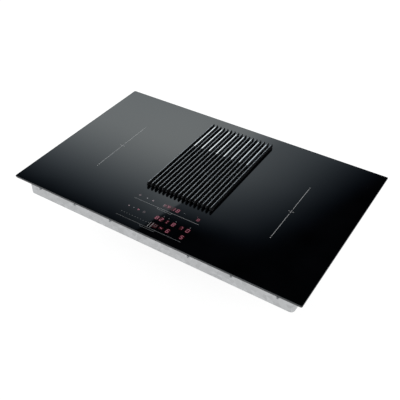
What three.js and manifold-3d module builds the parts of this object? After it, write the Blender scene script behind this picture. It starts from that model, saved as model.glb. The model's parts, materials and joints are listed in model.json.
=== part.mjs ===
// Downdraft induction cooktop: a glass hob with a central air grille, and the blower below it.
// Millimetres. +X is the user's right, +Y the back and +Z up. The origin is on the underside
// of the blower housing, below the middle of the glass.

import * as THREE from 'three';
import { mergeVertices } from 'three/addons/utils/BufferGeometryUtils.js';
import Module from 'manifold-3d';

// ---------------------------------------------------------------- driving dimensions

const FIT = 0.3; // gap left between two pieces that seat on each other
const PASS = 1; // how far a cutting solid runs past the face that it opens
const INSTALL_DEPTH = 205; // from the worktop down to the underside of the blower

const GLASS_WIDTH = 830;
const GLASS_DEPTH = 520;
const GLASS_THICKNESS = 4;
const GLASS_CORNER = 3;
const GLASS_BEVEL = 0.6;
const SEAL_THICKNESS = 1.7;
const SEAL_WIDTH = 10;
const SEAL_INSET = 1;

const FRONT_BAND = 161.3; // glass in front of the air opening, with the touch fields
const REAR_BAND = 52.7; // glass behind the air opening
const OPENING_WIDTH = 176;
const OPENING_CORNER = 8;

const BAR_COUNT = 17;
const BAR_PITCH = 11.8;
const BAR_TOP_WIDTH = 3.2;
const BAR_BASE_WIDTH = 4.4;
const BAR_HEIGHT = 9.4;
const BAR_EDGE = 0.5;
const BAR_NOSE = 3.6; // radius at both ends of a bar, seen from the side
const GRILLE_OVERHANG = 11; // how far the bars reach over the glass at the front and the back
const RIB_COUNT = 4;
const RIB_WIDTH = 4;
const RIB_HEIGHT = 2;
const LUG_DROP = 9;
const LUG_LENGTH = 14;
const LUG_CLEARANCE = 1.5;
const LUG_FROM_CORNER = 16;
const FOOT_PAD = 1.4;
const FOOT_WIDTH = 5;
const FOOT_LENGTH = 12;
const FOOT_CORNER = 2;
const INLAY_LENGTH = 110;
const INLAY_WIDTH = 4.2;
const INLAY_HEIGHT = 7;
const INLAY_WALL = 0.7;
const INLAY_SHOULDER = 1.1;
const INLAY_FROM_REAR = 14;

const CASING_INSET_X = 25; // how far the glass stands out past the casing at each side
const CASING_INSET_Y = 20;
const CASING_HEIGHT = 54.7;
const FLANGE_GAP = 1; // between the rim of the casing and the seal
const CASING_CORNER = 10;
const SHEET = 1;
const VENT_COUNT = 5;
const VENT_WIDTH = 4;
const VENT_LENGTH = 52;
const VENT_PITCH = 12;
const BEAD_WIDTH = 10;
const BEAD_RISE = 2;
const BEAD_FROM_LEG = 26;
const BEAD_FROM_WALL = 40;

const COIL_MARGIN = 8; // bench left clear all round a coil
const COIL_GAP = 10; // between the front and the rear coil
const COIL_EYE = 24;
const WINDING_THICKNESS = 6.5;
const COIL_BELOW_GLASS = 4;
const CARRIER_THICKNESS = 3.5;
const CARRIER_RIM = 2;
const PLATE_THICKNESS = 1.5;
const PLATE_FROM_MIDDLE = 150;
const PLATE_FROM_SIDE = 18;
const PLATE_FROM_END = 20;
const PLATE_HOLE = 14;

const BOARD_MARGIN = 16;
const BOARD_DEPTH = 220;
const BOARD_THICKNESS = 1.6;
const BOARD_STANDOFF = 6;
const STANDOFF_RADIUS = 4;
const STANDOFF_INSET = 8;
const BOARD_Y = -60;
const SINK_WIDTH = 74;
const SINK_DEPTH = 160;
const SINK_HEIGHT = 22;
const SINK_BASE = 4;
const FIN_COUNT = 12;
const FIN_THICKNESS = 1.8;
const CHOKE_RADIUS = 12;
const CHOKE_BORE = 5;
const CHOKE_HEIGHT = 13;
const CAPACITOR_WIDTH = 17;
const CAPACITOR_LENGTH = 31;
const CAPACITOR_HEIGHT = 22;
const RELAY_WIDTH = 20;
const RELAY_LENGTH = 28;
const RELAY_HEIGHT = 15;

const FAN_SIZE = 80;
const FAN_HEIGHT = 20;
const FAN_BORE = 37;
const FAN_Y = 112;
const FAN_BLADES = 5;
const FAN_BLADE_THICKNESS = 1.3;
const FAN_BLADE_INSET = 1;
const FAN_BLADE_KNEE = 0.7; // how far round the bend and the end of a blade lie, as shares of its height
const FAN_BLADE_END = 1.1;
const FAN_HUB = 16;
const FAN_TIP_GAP = 1.5;
const FAN_PIN = 2;
const FAN_FLOOR = 2;
const FAN_STRUT = 4;
const FAN_CORNER = 6;

const TOUCH_WIDTH = 188;
const TOUCH_DEPTH = 92;
const TOUCH_FROM_WALL = 55;
const TOUCH_WALL = 2;
const TOUCH_DOORWAY = 125;
const DISPLAY_HEIGHT = 1.8;
const DISPLAY_DEPTH = 16;
const DISPLAY_FROM_LEFT = 11;
const DISPLAY_FROM_RIGHT = 4;
const DISPLAY_FROM_EDGE = 8.5;
const TERMINAL_WIDTH = 34;
const TERMINAL_DEPTH = 44;
const TERMINAL_HEIGHT = 22;
const TERMINAL_POLES = 5;
const TERMINAL_WEB = 2.6;
const TERMINAL_SCREW = 2.2;
const TERMINAL_SCREW_RISE = 4;
const TERMINAL_X = 126;
const GLAND_BORE = 5;
const GLAND_RADIUS = 9;
const GLAND_FLANGE = 12;
const GLAND_LENGTH = 10;
const GLAND_INSIDE = 2; // how far it reaches in past the wall
const GLAND_NUT = 4;
const GLAND_LIP = 1;
const GLAND_RAISE = 2;
const SPRING_WIDTH = 30;
const SPRING_HEIGHT = 34;
const SPRING_REACH = 11;
const SPRING_RAISE = 3;
const SPRING_Y = 150;
const SPRING_STEEL = 1.2;
const SPRING_SHOULDER = 0.45; // where the leaf bends, as shares of its reach and its height
const SPRING_NOSE_TOP = 0.62;
const SPRING_NOSE_BOTTOM = 0.38;
const SPRING_TOE = 0.1;

const WELL_MARGIN = 2; // the well stands back this far behind the edge of the opening
const WELL_WALL = 2.5;
const WELL_LEDGE = 4;
const WELL_DROP = 58;
const WELL_FLANGE = 8;
const FILTER_CLEARANCE = 2.5;
const FILTER_HEIGHT = 32;
const FILTER_SHEET = 1.2;
const FILTER_LIP = 9;
const MESH_THICKNESS = 1.5;
const MESH_COLUMNS = 6;
const MESH_ROWS = 10;
const MESH_STRAND = 3.2;
const HANDLE_WIDTH = 24;
const HANDLE_RISE = 22;
const HANDLE_STEEL = 2;
const HANDLE_GRIP = 84;
const HANDLE_SLOPE = 10;

const PLENUM_WIDTH = 290;
const PLENUM_MARGIN = 19; // how far it reaches past the opening at the front and the back
const PLENUM_WALL = 2.5;
const PLENUM_CORNER = 34;
const PLENUM_FLANGE = 9;
const TRAY_WALL = 1.6;
const TRAY_HEIGHT = 17;
const TRAY_CLEARANCE = 2;
const NOZZLE_THROAT = 66;
const NOZZLE_WALL = 2;
const NOZZLE_LIP = 5;
const NOZZLE_RISE = 21;
const NOZZLE_OVERLAP = 3;
const NOZZLE_PLAY = 2; // round the nozzle where it passes through the plenum and the scroll

const SCROLL_HEIGHT = 95;
const SCROLL_WALL = 2.5;
const TONGUE_RADIUS = 108;
const TONGUE_ANGLE = THREE.MathUtils.degToRad(70);
const SCROLL_END_RADIUS = 150;
const OUTLET_Y = 190;
const EAR_RADIUS = 8;
const EAR_THICKNESS = 5;
const EAR_CLEARANCE = 1; // between a screw head and the wall of the scroll
const SCREW_RADIUS = 2;
const SCREW_HEAD = 4;
const SCREW_HEAD_HEIGHT = 2.6;
const SCREW_ANGLES = [120, 185, 250, 320];

const WHEEL_RADIUS = 94;
const WHEEL_INNER = 74;
const WHEEL_HEIGHT = 70;
const WHEEL_FLOOR_GAP = 11;
const WHEEL_PLATE = 2;
const BLADE_COUNT = 24;
const BLADE_THICKNESS = 1.5;
const BLADE_SWEEP = THREE.MathUtils.degToRad(13);
const DOME_RADIUS = 46;
const DOME_HEIGHT = 42;
const HUB_RADIUS = 10;
const HUB_LENGTH = 16;
const SHAFT_RADIUS = 4;
const SHAFT_END = 1; // how far it ends above the stator's underside and past the hub
const BEARING_RADIUS = 11;
const BEARING_WIDTH = 7;
const BEARING_RAISE = 2;
const STATOR_RADIUS = 38;
const STATOR_BASE = 44;
const STATOR_BASE_HEIGHT = 5;
const STATOR_SLOTS = 6;
const STATOR_SLOT_WIDTH = 3;
const STATOR_SLOT_DEPTH = 12;

const SPIGOT_WIDTH = 222;
const SPIGOT_HEIGHT = 89;
const SPIGOT_WALL = 2.5;
const SPIGOT_LENGTH = 62;
const SPIGOT_FLANGE = 3;
const SPIGOT_RIM = 6; // how far the flange stands out at the sides
const SPIGOT_EASE = 0.5; // by which the flange is lower than the scroll, above and below
const SPIGOT_CORNER = 6;
const LEAF_SETBACK = 9;
const LEAF_THICKNESS = 1.4;
const LEAF_SIDE_GAP = 1;
const LEAF_END_GAP = 1;
const LEAF_PIN = 1.8;
const LEAF_PIN_SEAT = 1.7;
const STOP_WIDTH = 3;

// sides of a round, by its size
const STANDOFF_SIDES = 6;
const PIN_SIDES = 10;
const SMALL_SIDES = 12;
const HUB_SIDES = 16;
const ROUND_SIDES = 20;
const LARGE_SIDES = 24;

// ---------------------------------------------------------------- levels and places

const GLASS_BOTTOM_Z = INSTALL_DEPTH + SEAL_THICKNESS + FIT;
const GLASS_TOP_Z = GLASS_BOTTOM_Z + GLASS_THICKNESS;
const CASING_TOP_Z = GLASS_BOTTOM_Z - FIT;
const CASING_BOTTOM_Z = CASING_TOP_Z - CASING_HEIGHT;
const CASING_FLOOR_Z = CASING_BOTTOM_Z + SHEET;
const GRILLE_BOTTOM_Z = GLASS_TOP_Z + FIT + FOOT_PAD + FIT;
const GRILLE_TOP_Z = GRILLE_BOTTOM_Z + BAR_HEIGHT;
const COIL_TOP_Z = GLASS_BOTTOM_Z - COIL_BELOW_GLASS;
const COIL_BOTTOM_Z = COIL_TOP_Z - WINDING_THICKNESS - CARRIER_THICKNESS;
const PLATE_TOP_Z = COIL_BOTTOM_Z - FIT;
const BOARD_BOTTOM_Z = CASING_FLOOR_Z + BOARD_STANDOFF + FIT;
const BOARD_TOP_Z = BOARD_BOTTOM_Z + BOARD_THICKNESS;
const WELL_TOP_Z = GLASS_BOTTOM_Z - FIT;
const WELL_BOTTOM_Z = WELL_TOP_Z - WELL_DROP;
const LEDGE_TOP_Z = WELL_BOTTOM_Z + WELL_WALL;
const FILTER_BOTTOM_Z = LEDGE_TOP_Z + FIT;
const MESH_BOTTOM_Z = FILTER_BOTTOM_Z + FILTER_SHEET + FIT;
const MESH_TOP_Z = MESH_BOTTOM_Z + MESH_THICKNESS;
const PLENUM_BOTTOM_Z = SCROLL_HEIGHT + FIT;
const PLENUM_FLOOR_Z = PLENUM_BOTTOM_Z + PLENUM_WALL;
const PLENUM_TOP_Z = CASING_BOTTOM_Z - FIT;
const NOZZLE_TOP_Z = PLENUM_FLOOR_Z + FIT + NOZZLE_RISE;
const WHEEL_BOTTOM_Z = SCROLL_WALL + WHEEL_FLOOR_GAP;
const WHEEL_TOP_Z = WHEEL_BOTTOM_Z + WHEEL_HEIGHT;
const DOME_TOP_Z = WHEEL_BOTTOM_Z + DOME_HEIGHT;
const STATOR_BOTTOM_Z = SCROLL_WALL + FIT;
const STATOR_TOP_Z = DOME_TOP_Z - 2 * WHEEL_PLATE - 2 * BEARING_WIDTH;
const SPLIT_Z = SCROLL_HEIGHT / 2;

const GLAND_Z = CASING_FLOOR_Z + GLAND_FLANGE + GLAND_RAISE;
const TOUCH_TOP_Z = GLASS_BOTTOM_Z - FIT - DISPLAY_HEIGHT;

// the air opening, and all that lies under it, is centred this far behind the glass centre
const SUCTION_Y = (FRONT_BAND - REAR_BAND) / 2;
const OPENING_DEPTH = GLASS_DEPTH - FRONT_BAND - REAR_BAND;
const GRILLE_LENGTH = OPENING_DEPTH + 2 * GRILLE_OVERHANG;
const INLAY_Y0 = GRILLE_LENGTH / 2 - INLAY_FROM_REAR - INLAY_LENGTH;
const FOOT_Y = GRILLE_LENGTH / 2 - FOOT_LENGTH;

// the casing follows the glass, and each half of the bench fills the casing beside the opening
const CASING_WIDTH = GLASS_WIDTH - 2 * CASING_INSET_X;
const CASING_DEPTH = GLASS_DEPTH - 2 * CASING_INSET_Y;
const PLATE_WIDTH = CASING_WIDTH / 2 - PLATE_FROM_SIDE - PLATE_FROM_MIDDLE;
const PLATE_DEPTH = CASING_DEPTH - 2 * PLATE_FROM_END;
const BENCH_X = PLATE_FROM_MIDDLE + PLATE_WIDTH / 2;
const COIL_RADIUS = Math.min(PLATE_WIDTH, PLATE_DEPTH / 2) / 2 - COIL_MARGIN;
const COIL_Y = COIL_RADIUS + CARRIER_RIM + COIL_GAP / 2;
const BOARD_WIDTH = PLATE_WIDTH - 2 * BOARD_MARGIN;
const TOUCH_Y = TOUCH_FROM_WALL - CASING_DEPTH / 2;

const WELL_WIDTH = OPENING_WIDTH + 2 * WELL_MARGIN;
const WELL_DEPTH = OPENING_DEPTH + 2 * WELL_MARGIN;
const WELL_CORNER = OPENING_CORNER + WELL_MARGIN;
const FILTER_WIDTH = OPENING_WIDTH - 2 * FILTER_CLEARANCE;
const FILTER_DEPTH = OPENING_DEPTH - 2 * FILTER_CLEARANCE;
const PLENUM_DEPTH = OPENING_DEPTH + 2 * PLENUM_MARGIN;
const NOZZLE_SKIRT = NOZZLE_THROAT + 2 * NOZZLE_LIP;
const OUTLET_INNER_WIDTH = SPIGOT_WIDTH - 2 * SPIGOT_WALL;
const OUTLET_X = SCROLL_END_RADIUS - OUTLET_INNER_WIDTH / 2;
const SPIGOT_START_Y = OUTLET_Y + FIT;
const SPIGOT_Z = SCROLL_HEIGHT / 2;
const LEAF_Y = SPIGOT_START_Y + LEAF_SETBACK;
const LEAF_WIDTH = OUTLET_INNER_WIDTH - 2 * LEAF_SIDE_GAP;
const LEAF_REACH = (SPIGOT_HEIGHT - 2 * SPIGOT_WALL) / 2 - LEAF_END_GAP;
const LEAF_AXIS_UPPER = SPIGOT_Z + SPIGOT_HEIGHT / 2 - SPIGOT_WALL - LEAF_PIN - LEAF_SIDE_GAP;
const LEAF_AXIS_LOWER = LEAF_AXIS_UPPER - LEAF_REACH;

// the screws of the scroll stand just outside its spiral wall
const EAR_PLACES = SCREW_ANGLES.map((degrees) => {
  const angle = THREE.MathUtils.degToRad(degrees);
  const share = (angle - TONGUE_ANGLE) / (2 * Math.PI - TONGUE_ANGLE);
  const radius = TONGUE_RADIUS + (SCROLL_END_RADIUS - TONGUE_RADIUS) * share
    + SCROLL_WALL + SCREW_HEAD + EAR_CLEARANCE;
  return [radius * Math.cos(angle), radius * Math.sin(angle)];
});

// ---------------------------------------------------------------- solids

const manifold = await Module();
manifold.setup();

const AXES = {
  x: [new THREE.Vector3(0, 1, 0), new THREE.Vector3(0, 0, 1), new THREE.Vector3(1, 0, 0)],
  y: [new THREE.Vector3(1, 0, 0), new THREE.Vector3(0, 0, 1), new THREE.Vector3(0, -1, 0)],
  z: [new THREE.Vector3(1, 0, 0), new THREE.Vector3(0, 1, 0), new THREE.Vector3(0, 0, 1)],
};

// A closed geometry as a solid that can be joined and cut.
function solidOf(geometry) {
  const bare = geometry.clone();
  bare.deleteAttribute('normal');
  bare.deleteAttribute('uv');
  const merged = mergeVertices(bare);
  const corners = merged.index.array;
  const triangles = [];
  for (let i = 0; i < corners.length; i += 3) {
    const [a, b, c] = corners.slice(i, i + 3);
    if (a !== b && b !== c && c !== a) triangles.push(a, b, c);
  }
  return new manifold.Manifold(new manifold.Mesh({
    numProp: 3,
    vertProperties: merged.attributes.position.array,
    triVerts: Uint32Array.from(triangles),
  }));
}

function geometryOf(solid) {
  const mesh = solid.getMesh();
  const geometry = new THREE.BufferGeometry();
  geometry.setAttribute('position', new THREE.BufferAttribute(mesh.vertProperties, 3));
  geometry.setIndex(new THREE.BufferAttribute(mesh.triVerts, 1));
  return geometry;
}

function join(first, ...others) {
  return others.reduce((whole, part) => whole.add(part), first);
}

function cut(whole, ...tools) {
  return tools.reduce((rest, tool) => rest.subtract(tool), whole);
}

function block(x0, x1, y0, y1, z0, z1) {
  const geometry = new THREE.BoxGeometry(x1 - x0, y1 - y0, z1 - z0);
  return solidOf(geometry.translate((x0 + x1) / 2, (y0 + y1) / 2, (z0 + z1) / 2));
}

function polygon(points) {
  return new THREE.Shape(points.map(([x, y]) => new THREE.Vector2(x, y)));
}

function roundedRectangle(width, depth, radius) {
  const x = width / 2 - radius;
  const y = depth / 2 - radius;
  const shape = new THREE.Shape();
  shape.absarc(x, -y, radius, -Math.PI / 2, 0);
  shape.absarc(x, y, radius, 0, Math.PI / 2);
  shape.absarc(-x, y, radius, Math.PI / 2, Math.PI);
  shape.absarc(-x, -y, radius, Math.PI, 1.5 * Math.PI);
  shape.closePath();
  return shape;
}

// A shape extruded from one level to another along an axis. Along X the shape is drawn in
// (Y, Z), along Y in (X, Z) and along Z in (X, Y).
function prism(shape, from, to, axis = 'z', curveSegments = 2) {
  const geometry = new THREE.ExtrudeGeometry(shape, {
    depth: to - from,
    bevelEnabled: false,
    curveSegments,
  });
  const [right, up, along] = AXES[axis];
  geometry.applyMatrix4(new THREE.Matrix4().makeBasis(right, up, along));
  const start = axis === 'y' ? to : from;
  return solidOf(geometry).translate(along.clone().multiply(along).multiplyScalar(start).toArray());
}

function disc(radius, z0, z1, segments) {
  const geometry = new THREE.CylinderGeometry(radius, radius, z1 - z0, segments);
  return solidOf(geometry.rotateX(Math.PI / 2).translate(0, 0, (z0 + z1) / 2));
}

// A profile of [radius, height] points turned round the Z axis. It runs outwards along its
// underside and back along its top.
function turned(profile, segments) {
  const points = profile.map(([radius, height]) => new THREE.Vector2(radius, height));
  const [first] = profile;
  const last = profile[profile.length - 1];
  if (first[0] > 0 || last[0] > 0) points.push(points[0].clone());
  return solidOf(new THREE.LatheGeometry(points, segments).rotateX(Math.PI / 2));
}

function ring(inner, outer, z0, z1, segments) {
  return turned([[inner, z0], [outer, z0], [outer, z1], [inner, z1]], segments);
}

// A strip of sheet bent along a line of [x, y] corners, with its thickness to the left.
function bentStrip(corners, thickness) {
  const line = corners.map(([x, y]) => new THREE.Vector2(x, y));
  const sides = line.slice(1).map((end, i) => end.clone().sub(line[i]).normalize());
  const normal = (side) => new THREE.Vector2(-side.y, side.x);
  const offset = line.map((corner, i) => {
    const before = normal(sides[Math.max(i - 1, 0)]);
    const after = normal(sides[Math.min(i, sides.length - 1)]);
    const middle = before.clone().add(after).normalize();
    return corner.clone().addScaledVector(middle, thickness / middle.dot(after));
  });
  return new THREE.Shape([...line, ...offset.reverse()]);
}

// ---------------------------------------------------------------- materials

function finish(color, roughness, metalness) {
  return new THREE.MeshStandardMaterial({ color, roughness, metalness, flatShading: true });
}

const blackGlass = () => finish(0x0a0b0d, 0.04, 0);
const foam = () => finish(0x1a1a1b, 0.9, 0);
const blackEnamel = () => finish(0x1b1c1d, 0.38, 0.6);
const polishedSteel = () => finish(0xdedfe0, 0.16, 1);
const stainless = () => finish(0xb4b6b8, 0.3, 1);
const silicone = () => finish(0x242424, 0.8, 0);
const galvanised = () => finish(0x9a9d9f, 0.45, 0.9);
const aluminium = () => finish(0xbfc2c4, 0.35, 1);
const copper = () => finish(0xb06a3c, 0.4, 0.9);
const blackPlastic = () => finish(0x202123, 0.55, 0);
const greyPlastic = () => finish(0x4c4f52, 0.6, 0);
const boardGreen = () => finish(0x1d4a32, 0.5, 0);
const whitePlastic = () => finish(0xd8d8d2, 0.5, 0);
const springSteel = () => finish(0x8d9093, 0.35, 1);
const motorSteel = () => finish(0x5c5f62, 0.4, 0.9);

// ---------------------------------------------------------------- assembly

const cooktop = new THREE.Group();
cooktop.name = 'downdraft_cooktop';

const suction = new THREE.Group(); // all that is centred on the air opening
suction.position.set(0, SUCTION_Y, 0);
cooktop.add(suction);

function place(parent, name, solid, material, x = 0, y = 0, z = 0) {
  const mesh = new THREE.Mesh(geometryOf(solid), material);
  mesh.name = name;
  mesh.position.set(x, y, z);
  parent.add(mesh);
  return mesh;
}

// ---------------------------------------------------------------- glass and seal

function glassTop() {
  const outline = roundedRectangle(GLASS_WIDTH, GLASS_DEPTH, GLASS_CORNER);
  const opening = roundedRectangle(OPENING_WIDTH, OPENING_DEPTH, OPENING_CORNER);
  const shifted = opening.getPoints(3).map((p) => new THREE.Vector2(p.x, p.y + SUCTION_Y));
  outline.holes.push(new THREE.Path(shifted));
  const geometry = new THREE.ExtrudeGeometry(outline, {
    depth: GLASS_THICKNESS - 2 * GLASS_BEVEL,
    bevelThickness: GLASS_BEVEL,
    bevelSize: GLASS_BEVEL,
    bevelOffset: -GLASS_BEVEL,
    bevelSegments: 1,
    curveSegments: 2,
  });
  return solidOf(geometry.translate(0, 0, GLASS_BOTTOM_Z + GLASS_BEVEL));
}

function glassSeal() {
  const width = GLASS_WIDTH - 2 * SEAL_INSET;
  const depth = GLASS_DEPTH - 2 * SEAL_INSET;
  const inner = roundedRectangle(width - 2 * SEAL_WIDTH, depth - 2 * SEAL_WIDTH, GLASS_CORNER);
  const rim = prism(roundedRectangle(width, depth, GLASS_CORNER), INSTALL_DEPTH,
    INSTALL_DEPTH + SEAL_THICKNESS);
  return cut(rim, prism(inner, INSTALL_DEPTH - PASS, GLASS_TOP_Z));
}

place(cooktop, 'glass_top', glassTop(), blackGlass());
place(cooktop, 'glass_seal', glassSeal(), foam());

// ---------------------------------------------------------------- grille

const barX = (index) => (index - (BAR_COUNT - 1) / 2) * BAR_PITCH;
const isInlaid = (index) => index % 2 === 1;
const GRILLE_HALF_WIDTH = barX(BAR_COUNT - 1);

function barProfile() {
  const base = BAR_BASE_WIDTH / 2;
  const top = BAR_TOP_WIDTH / 2;
  return polygon([
    [-base, 0],
    [base, 0],
    [top, BAR_HEIGHT - BAR_EDGE],
    [top - BAR_EDGE, BAR_HEIGHT],
    [BAR_EDGE - top, BAR_HEIGHT],
    [-top, BAR_HEIGHT - BAR_EDGE],
  ]);
}

// A tapered bar whose upper corners are rounded off at both ends.
function barBody() {
  const half = GRILLE_LENGTH / 2;
  const side = new THREE.Shape();
  side.moveTo(-half, 0);
  side.lineTo(half, 0);
  side.absarc(half - BAR_NOSE, BAR_HEIGHT - BAR_NOSE, BAR_NOSE, 0, Math.PI / 2);
  side.absarc(BAR_NOSE - half, BAR_HEIGHT - BAR_NOSE, BAR_NOSE, Math.PI / 2, Math.PI);
  const length = prism(barProfile(), -half, half, 'y');
  return length.intersect(prism(side, -BAR_BASE_WIDTH, BAR_BASE_WIDTH, 'x'));
}

// The stretch of an inlaid bar that the steel cap covers is cut down to a narrow tongue.
function inlaySeat() {
  const tongue = INLAY_WIDTH / 2 - INLAY_WALL - FIT;
  const y0 = INLAY_Y0 - FIT;
  const y1 = INLAY_Y0 + INLAY_LENGTH + FIT;
  const z0 = BAR_HEIGHT - INLAY_HEIGHT - FIT;
  const side = (from, to) => block(from, to, y0, y1, z0, BAR_HEIGHT + PASS);
  const crown = block(-tongue - PASS, tongue + PASS, y0, y1,
    BAR_HEIGHT - INLAY_WALL - FIT, BAR_HEIGHT + PASS);
  return join(side(tongue, BAR_PITCH / 2), side(-BAR_PITCH / 2, -tongue), crown);
}

function grille() {
  const bar = barBody();
  const inlaidBar = cut(bar, inlaySeat());
  let body = null;
  for (let i = 0; i < BAR_COUNT; i += 1) {
    const next = (isInlaid(i) ? inlaidBar : bar).translate([barX(i), 0, 0]);
    body = body ? body.add(next) : next;
  }
  const ribSpan = OPENING_DEPTH - RIB_WIDTH;
  for (let i = 0; i < RIB_COUNT; i += 1) {
    const y = (i / (RIB_COUNT - 1) - 0.5) * ribSpan;
    const rib = block(-GRILLE_HALF_WIDTH, GRILLE_HALF_WIDTH, y - RIB_WIDTH / 2, y + RIB_WIDTH / 2,
      0, RIB_HEIGHT);
    body = body.add(rib);
  }
  // four lugs under the outer bars of the opening keep the grille in place
  const outer = OPENING_WIDTH / 2 - LUG_CLEARANCE;
  const inner = barX(BAR_COUNT - 2);
  const lugEnd = OPENING_DEPTH / 2 - LUG_FROM_CORNER;
  for (const sideX of [-1, 1]) {
    for (const sideY of [-1, 1]) {
      const xs = [sideX * inner, sideX * outer].sort((a, b) => a - b);
      const ys = [sideY * lugEnd, sideY * (lugEnd - LUG_LENGTH)].sort((a, b) => a - b);
      body = body.add(block(...xs, ...ys, -LUG_DROP, RIB_HEIGHT));
    }
  }
  return body;
}

// A steel cap folded over the bar, with rounded shoulders.
function inlay() {
  const half = INLAY_WIDTH / 2;
  const inside = half - INLAY_WALL;
  const shoulder = half - INLAY_SHOULDER;
  const shell = new THREE.Shape();
  shell.moveTo(inside, 0);
  shell.lineTo(half, 0);
  shell.absarc(shoulder, INLAY_HEIGHT - INLAY_SHOULDER, INLAY_SHOULDER, 0, Math.PI / 2);
  shell.absarc(-shoulder, INLAY_HEIGHT - INLAY_SHOULDER, INLAY_SHOULDER, Math.PI / 2, Math.PI);
  shell.lineTo(-half, 0);
  shell.lineTo(-inside, 0);
  shell.lineTo(-inside, INLAY_HEIGHT - INLAY_WALL);
  shell.lineTo(inside, INLAY_HEIGHT - INLAY_WALL);
  return prism(shell, INLAY_Y0, INLAY_Y0 + INLAY_LENGTH, 'y', 1);
}

function grilleFoot() {
  const pad = roundedRectangle(FOOT_WIDTH, FOOT_LENGTH, FOOT_CORNER);
  return prism(pad, 0, FOOT_PAD, 'z', 1);
}

place(suction, 'grille', grille(), blackEnamel(), 0, 0, GRILLE_BOTTOM_Z);
for (let i = 0; i < BAR_COUNT; i += 1) {
  if (isInlaid(i)) {
    const name = `grille_inlay_${(i + 1) / 2}`;
    place(suction, name, inlay(), polishedSteel(), barX(i), 0, GRILLE_TOP_Z - INLAY_HEIGHT);
  }
}

[[-1, -1], [1, -1], [-1, 1], [1, 1]].forEach(([sideX, sideY], i) => {
  place(suction, `grille_foot_${i + 1}`, grilleFoot(), silicone(),
    sideX * GRILLE_HALF_WIDTH, sideY * FOOT_Y, GLASS_TOP_Z + FIT);
});

// ---------------------------------------------------------------- casing

function ventRow(x, y) {
  const slots = [];
  for (let i = 0; i < VENT_COUNT; i += 1) {
    const slotX = x + (i - (VENT_COUNT - 1) / 2) * VENT_PITCH;
    slots.push(block(slotX - VENT_WIDTH / 2, slotX + VENT_WIDTH / 2,
      y - VENT_LENGTH / 2, y + VENT_LENGTH / 2, CASING_BOTTOM_Z - PASS, CASING_FLOOR_Z + PASS));
  }
  return join(...slots);
}

function boardStandoffs(x) {
  const dx = BOARD_WIDTH / 2 - STANDOFF_INSET;
  const dy = BOARD_DEPTH / 2 - STANDOFF_INSET;
  const post = disc(STANDOFF_RADIUS, CASING_BOTTOM_Z + SHEET / 2, BOARD_BOTTOM_Z - FIT, STANDOFF_SIDES);
  return join(...[[-1, -1], [1, -1], [-1, 1], [1, 1]].map(
    ([sx, sy]) => post.translate([x + sx * dx, BOARD_Y + sy * dy, 0])));
}

// A stiffening bead pressed into the casing floor from below: the ridge above or its hollow.
function bead(halfWidth, halfLength, level) {
  const section = polygon([
    [-halfWidth, level],
    [halfWidth, level],
    [halfWidth - BEAD_RISE, level + BEAD_RISE],
    [BEAD_RISE - halfWidth, level + BEAD_RISE],
  ]);
  return prism(section, -halfLength, halfLength, 'x');
}

function beaded(tray) {
  const half = BEAD_WIDTH / 2;
  const length = PLATE_WIDTH / 2 - BEAD_FROM_LEG;
  const fold = SHEET * (Math.SQRT2 - 1); // the sheet keeps its thickness on the slopes
  const ridge = bead(half, length, CASING_FLOOR_Z);
  const hollow = bead(half - fold, length - SHEET, CASING_BOTTOM_Z);
  let result = tray;
  for (const x of [-BENCH_X, BENCH_X]) {
    for (const y of [BEAD_FROM_WALL - CASING_DEPTH / 2, CASING_DEPTH / 2 - BEAD_FROM_WALL]) {
      result = cut(join(result, ridge.translate([x, y, 0])), hollow.translate([x, y, 0]));
    }
  }
  return result;
}

function casingTray() {
  const flangeWidth = GLASS_WIDTH - 2 * (SEAL_INSET + SEAL_WIDTH + FLANGE_GAP);
  const flangeDepth = GLASS_DEPTH - 2 * (SEAL_INSET + SEAL_WIDTH + FLANGE_GAP);
  const body = prism(roundedRectangle(CASING_WIDTH, CASING_DEPTH, CASING_CORNER),
    CASING_BOTTOM_Z, CASING_TOP_Z);
  const flange = prism(roundedRectangle(flangeWidth, flangeDepth, CASING_CORNER),
    CASING_TOP_Z - SHEET, CASING_TOP_Z);
  const inside = prism(roundedRectangle(CASING_WIDTH - 2 * SHEET, CASING_DEPTH - 2 * SHEET,
    CASING_CORNER - SHEET), CASING_FLOOR_Z, GLASS_TOP_Z);
  const wellHole = prism(roundedRectangle(WELL_WIDTH + 2 * (WELL_WALL + FIT),
    WELL_DEPTH + 2 * (WELL_WALL + FIT), WELL_CORNER + WELL_WALL), CASING_BOTTOM_Z - PASS, CASING_TOP_Z);
  const glandHole = disc(GLAND_RADIUS + FIT, -PASS, SHEET + PASS, ROUND_SIDES)
    .rotate([90, 0, 0])
    .translate([TERMINAL_X, CASING_DEPTH / 2, GLAND_Z]);
  let tray = cut(join(body, flange), inside, wellHole.translate([0, SUCTION_Y, 0]), glandHole);
  for (const side of [-1, 1]) {
    tray = cut(tray, ventRow(side * BENCH_X, FAN_Y), ventRow(side * BENCH_X, BOARD_Y));
    tray = join(tray, boardStandoffs(side * BENCH_X));
  }
  return beaded(tray);
}

function cableGland() {
  const nut = GLAND_INSIDE + SHEET + 2 * FIT;
  const end = GLAND_INSIDE + GLAND_LENGTH;
  const body = turned([
    [GLAND_BORE, 0],
    [GLAND_RADIUS, 0],
    [GLAND_RADIUS, nut],
    [GLAND_FLANGE, nut],
    [GLAND_FLANGE, nut + GLAND_NUT],
    [GLAND_RADIUS, end],
    [GLAND_BORE + GLAND_LIP, end + GLAND_NUT],
    [GLAND_BORE, end + GLAND_NUT],
  ], SMALL_SIDES);
  return body.rotate([-90, 0, 0]);
}

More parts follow.
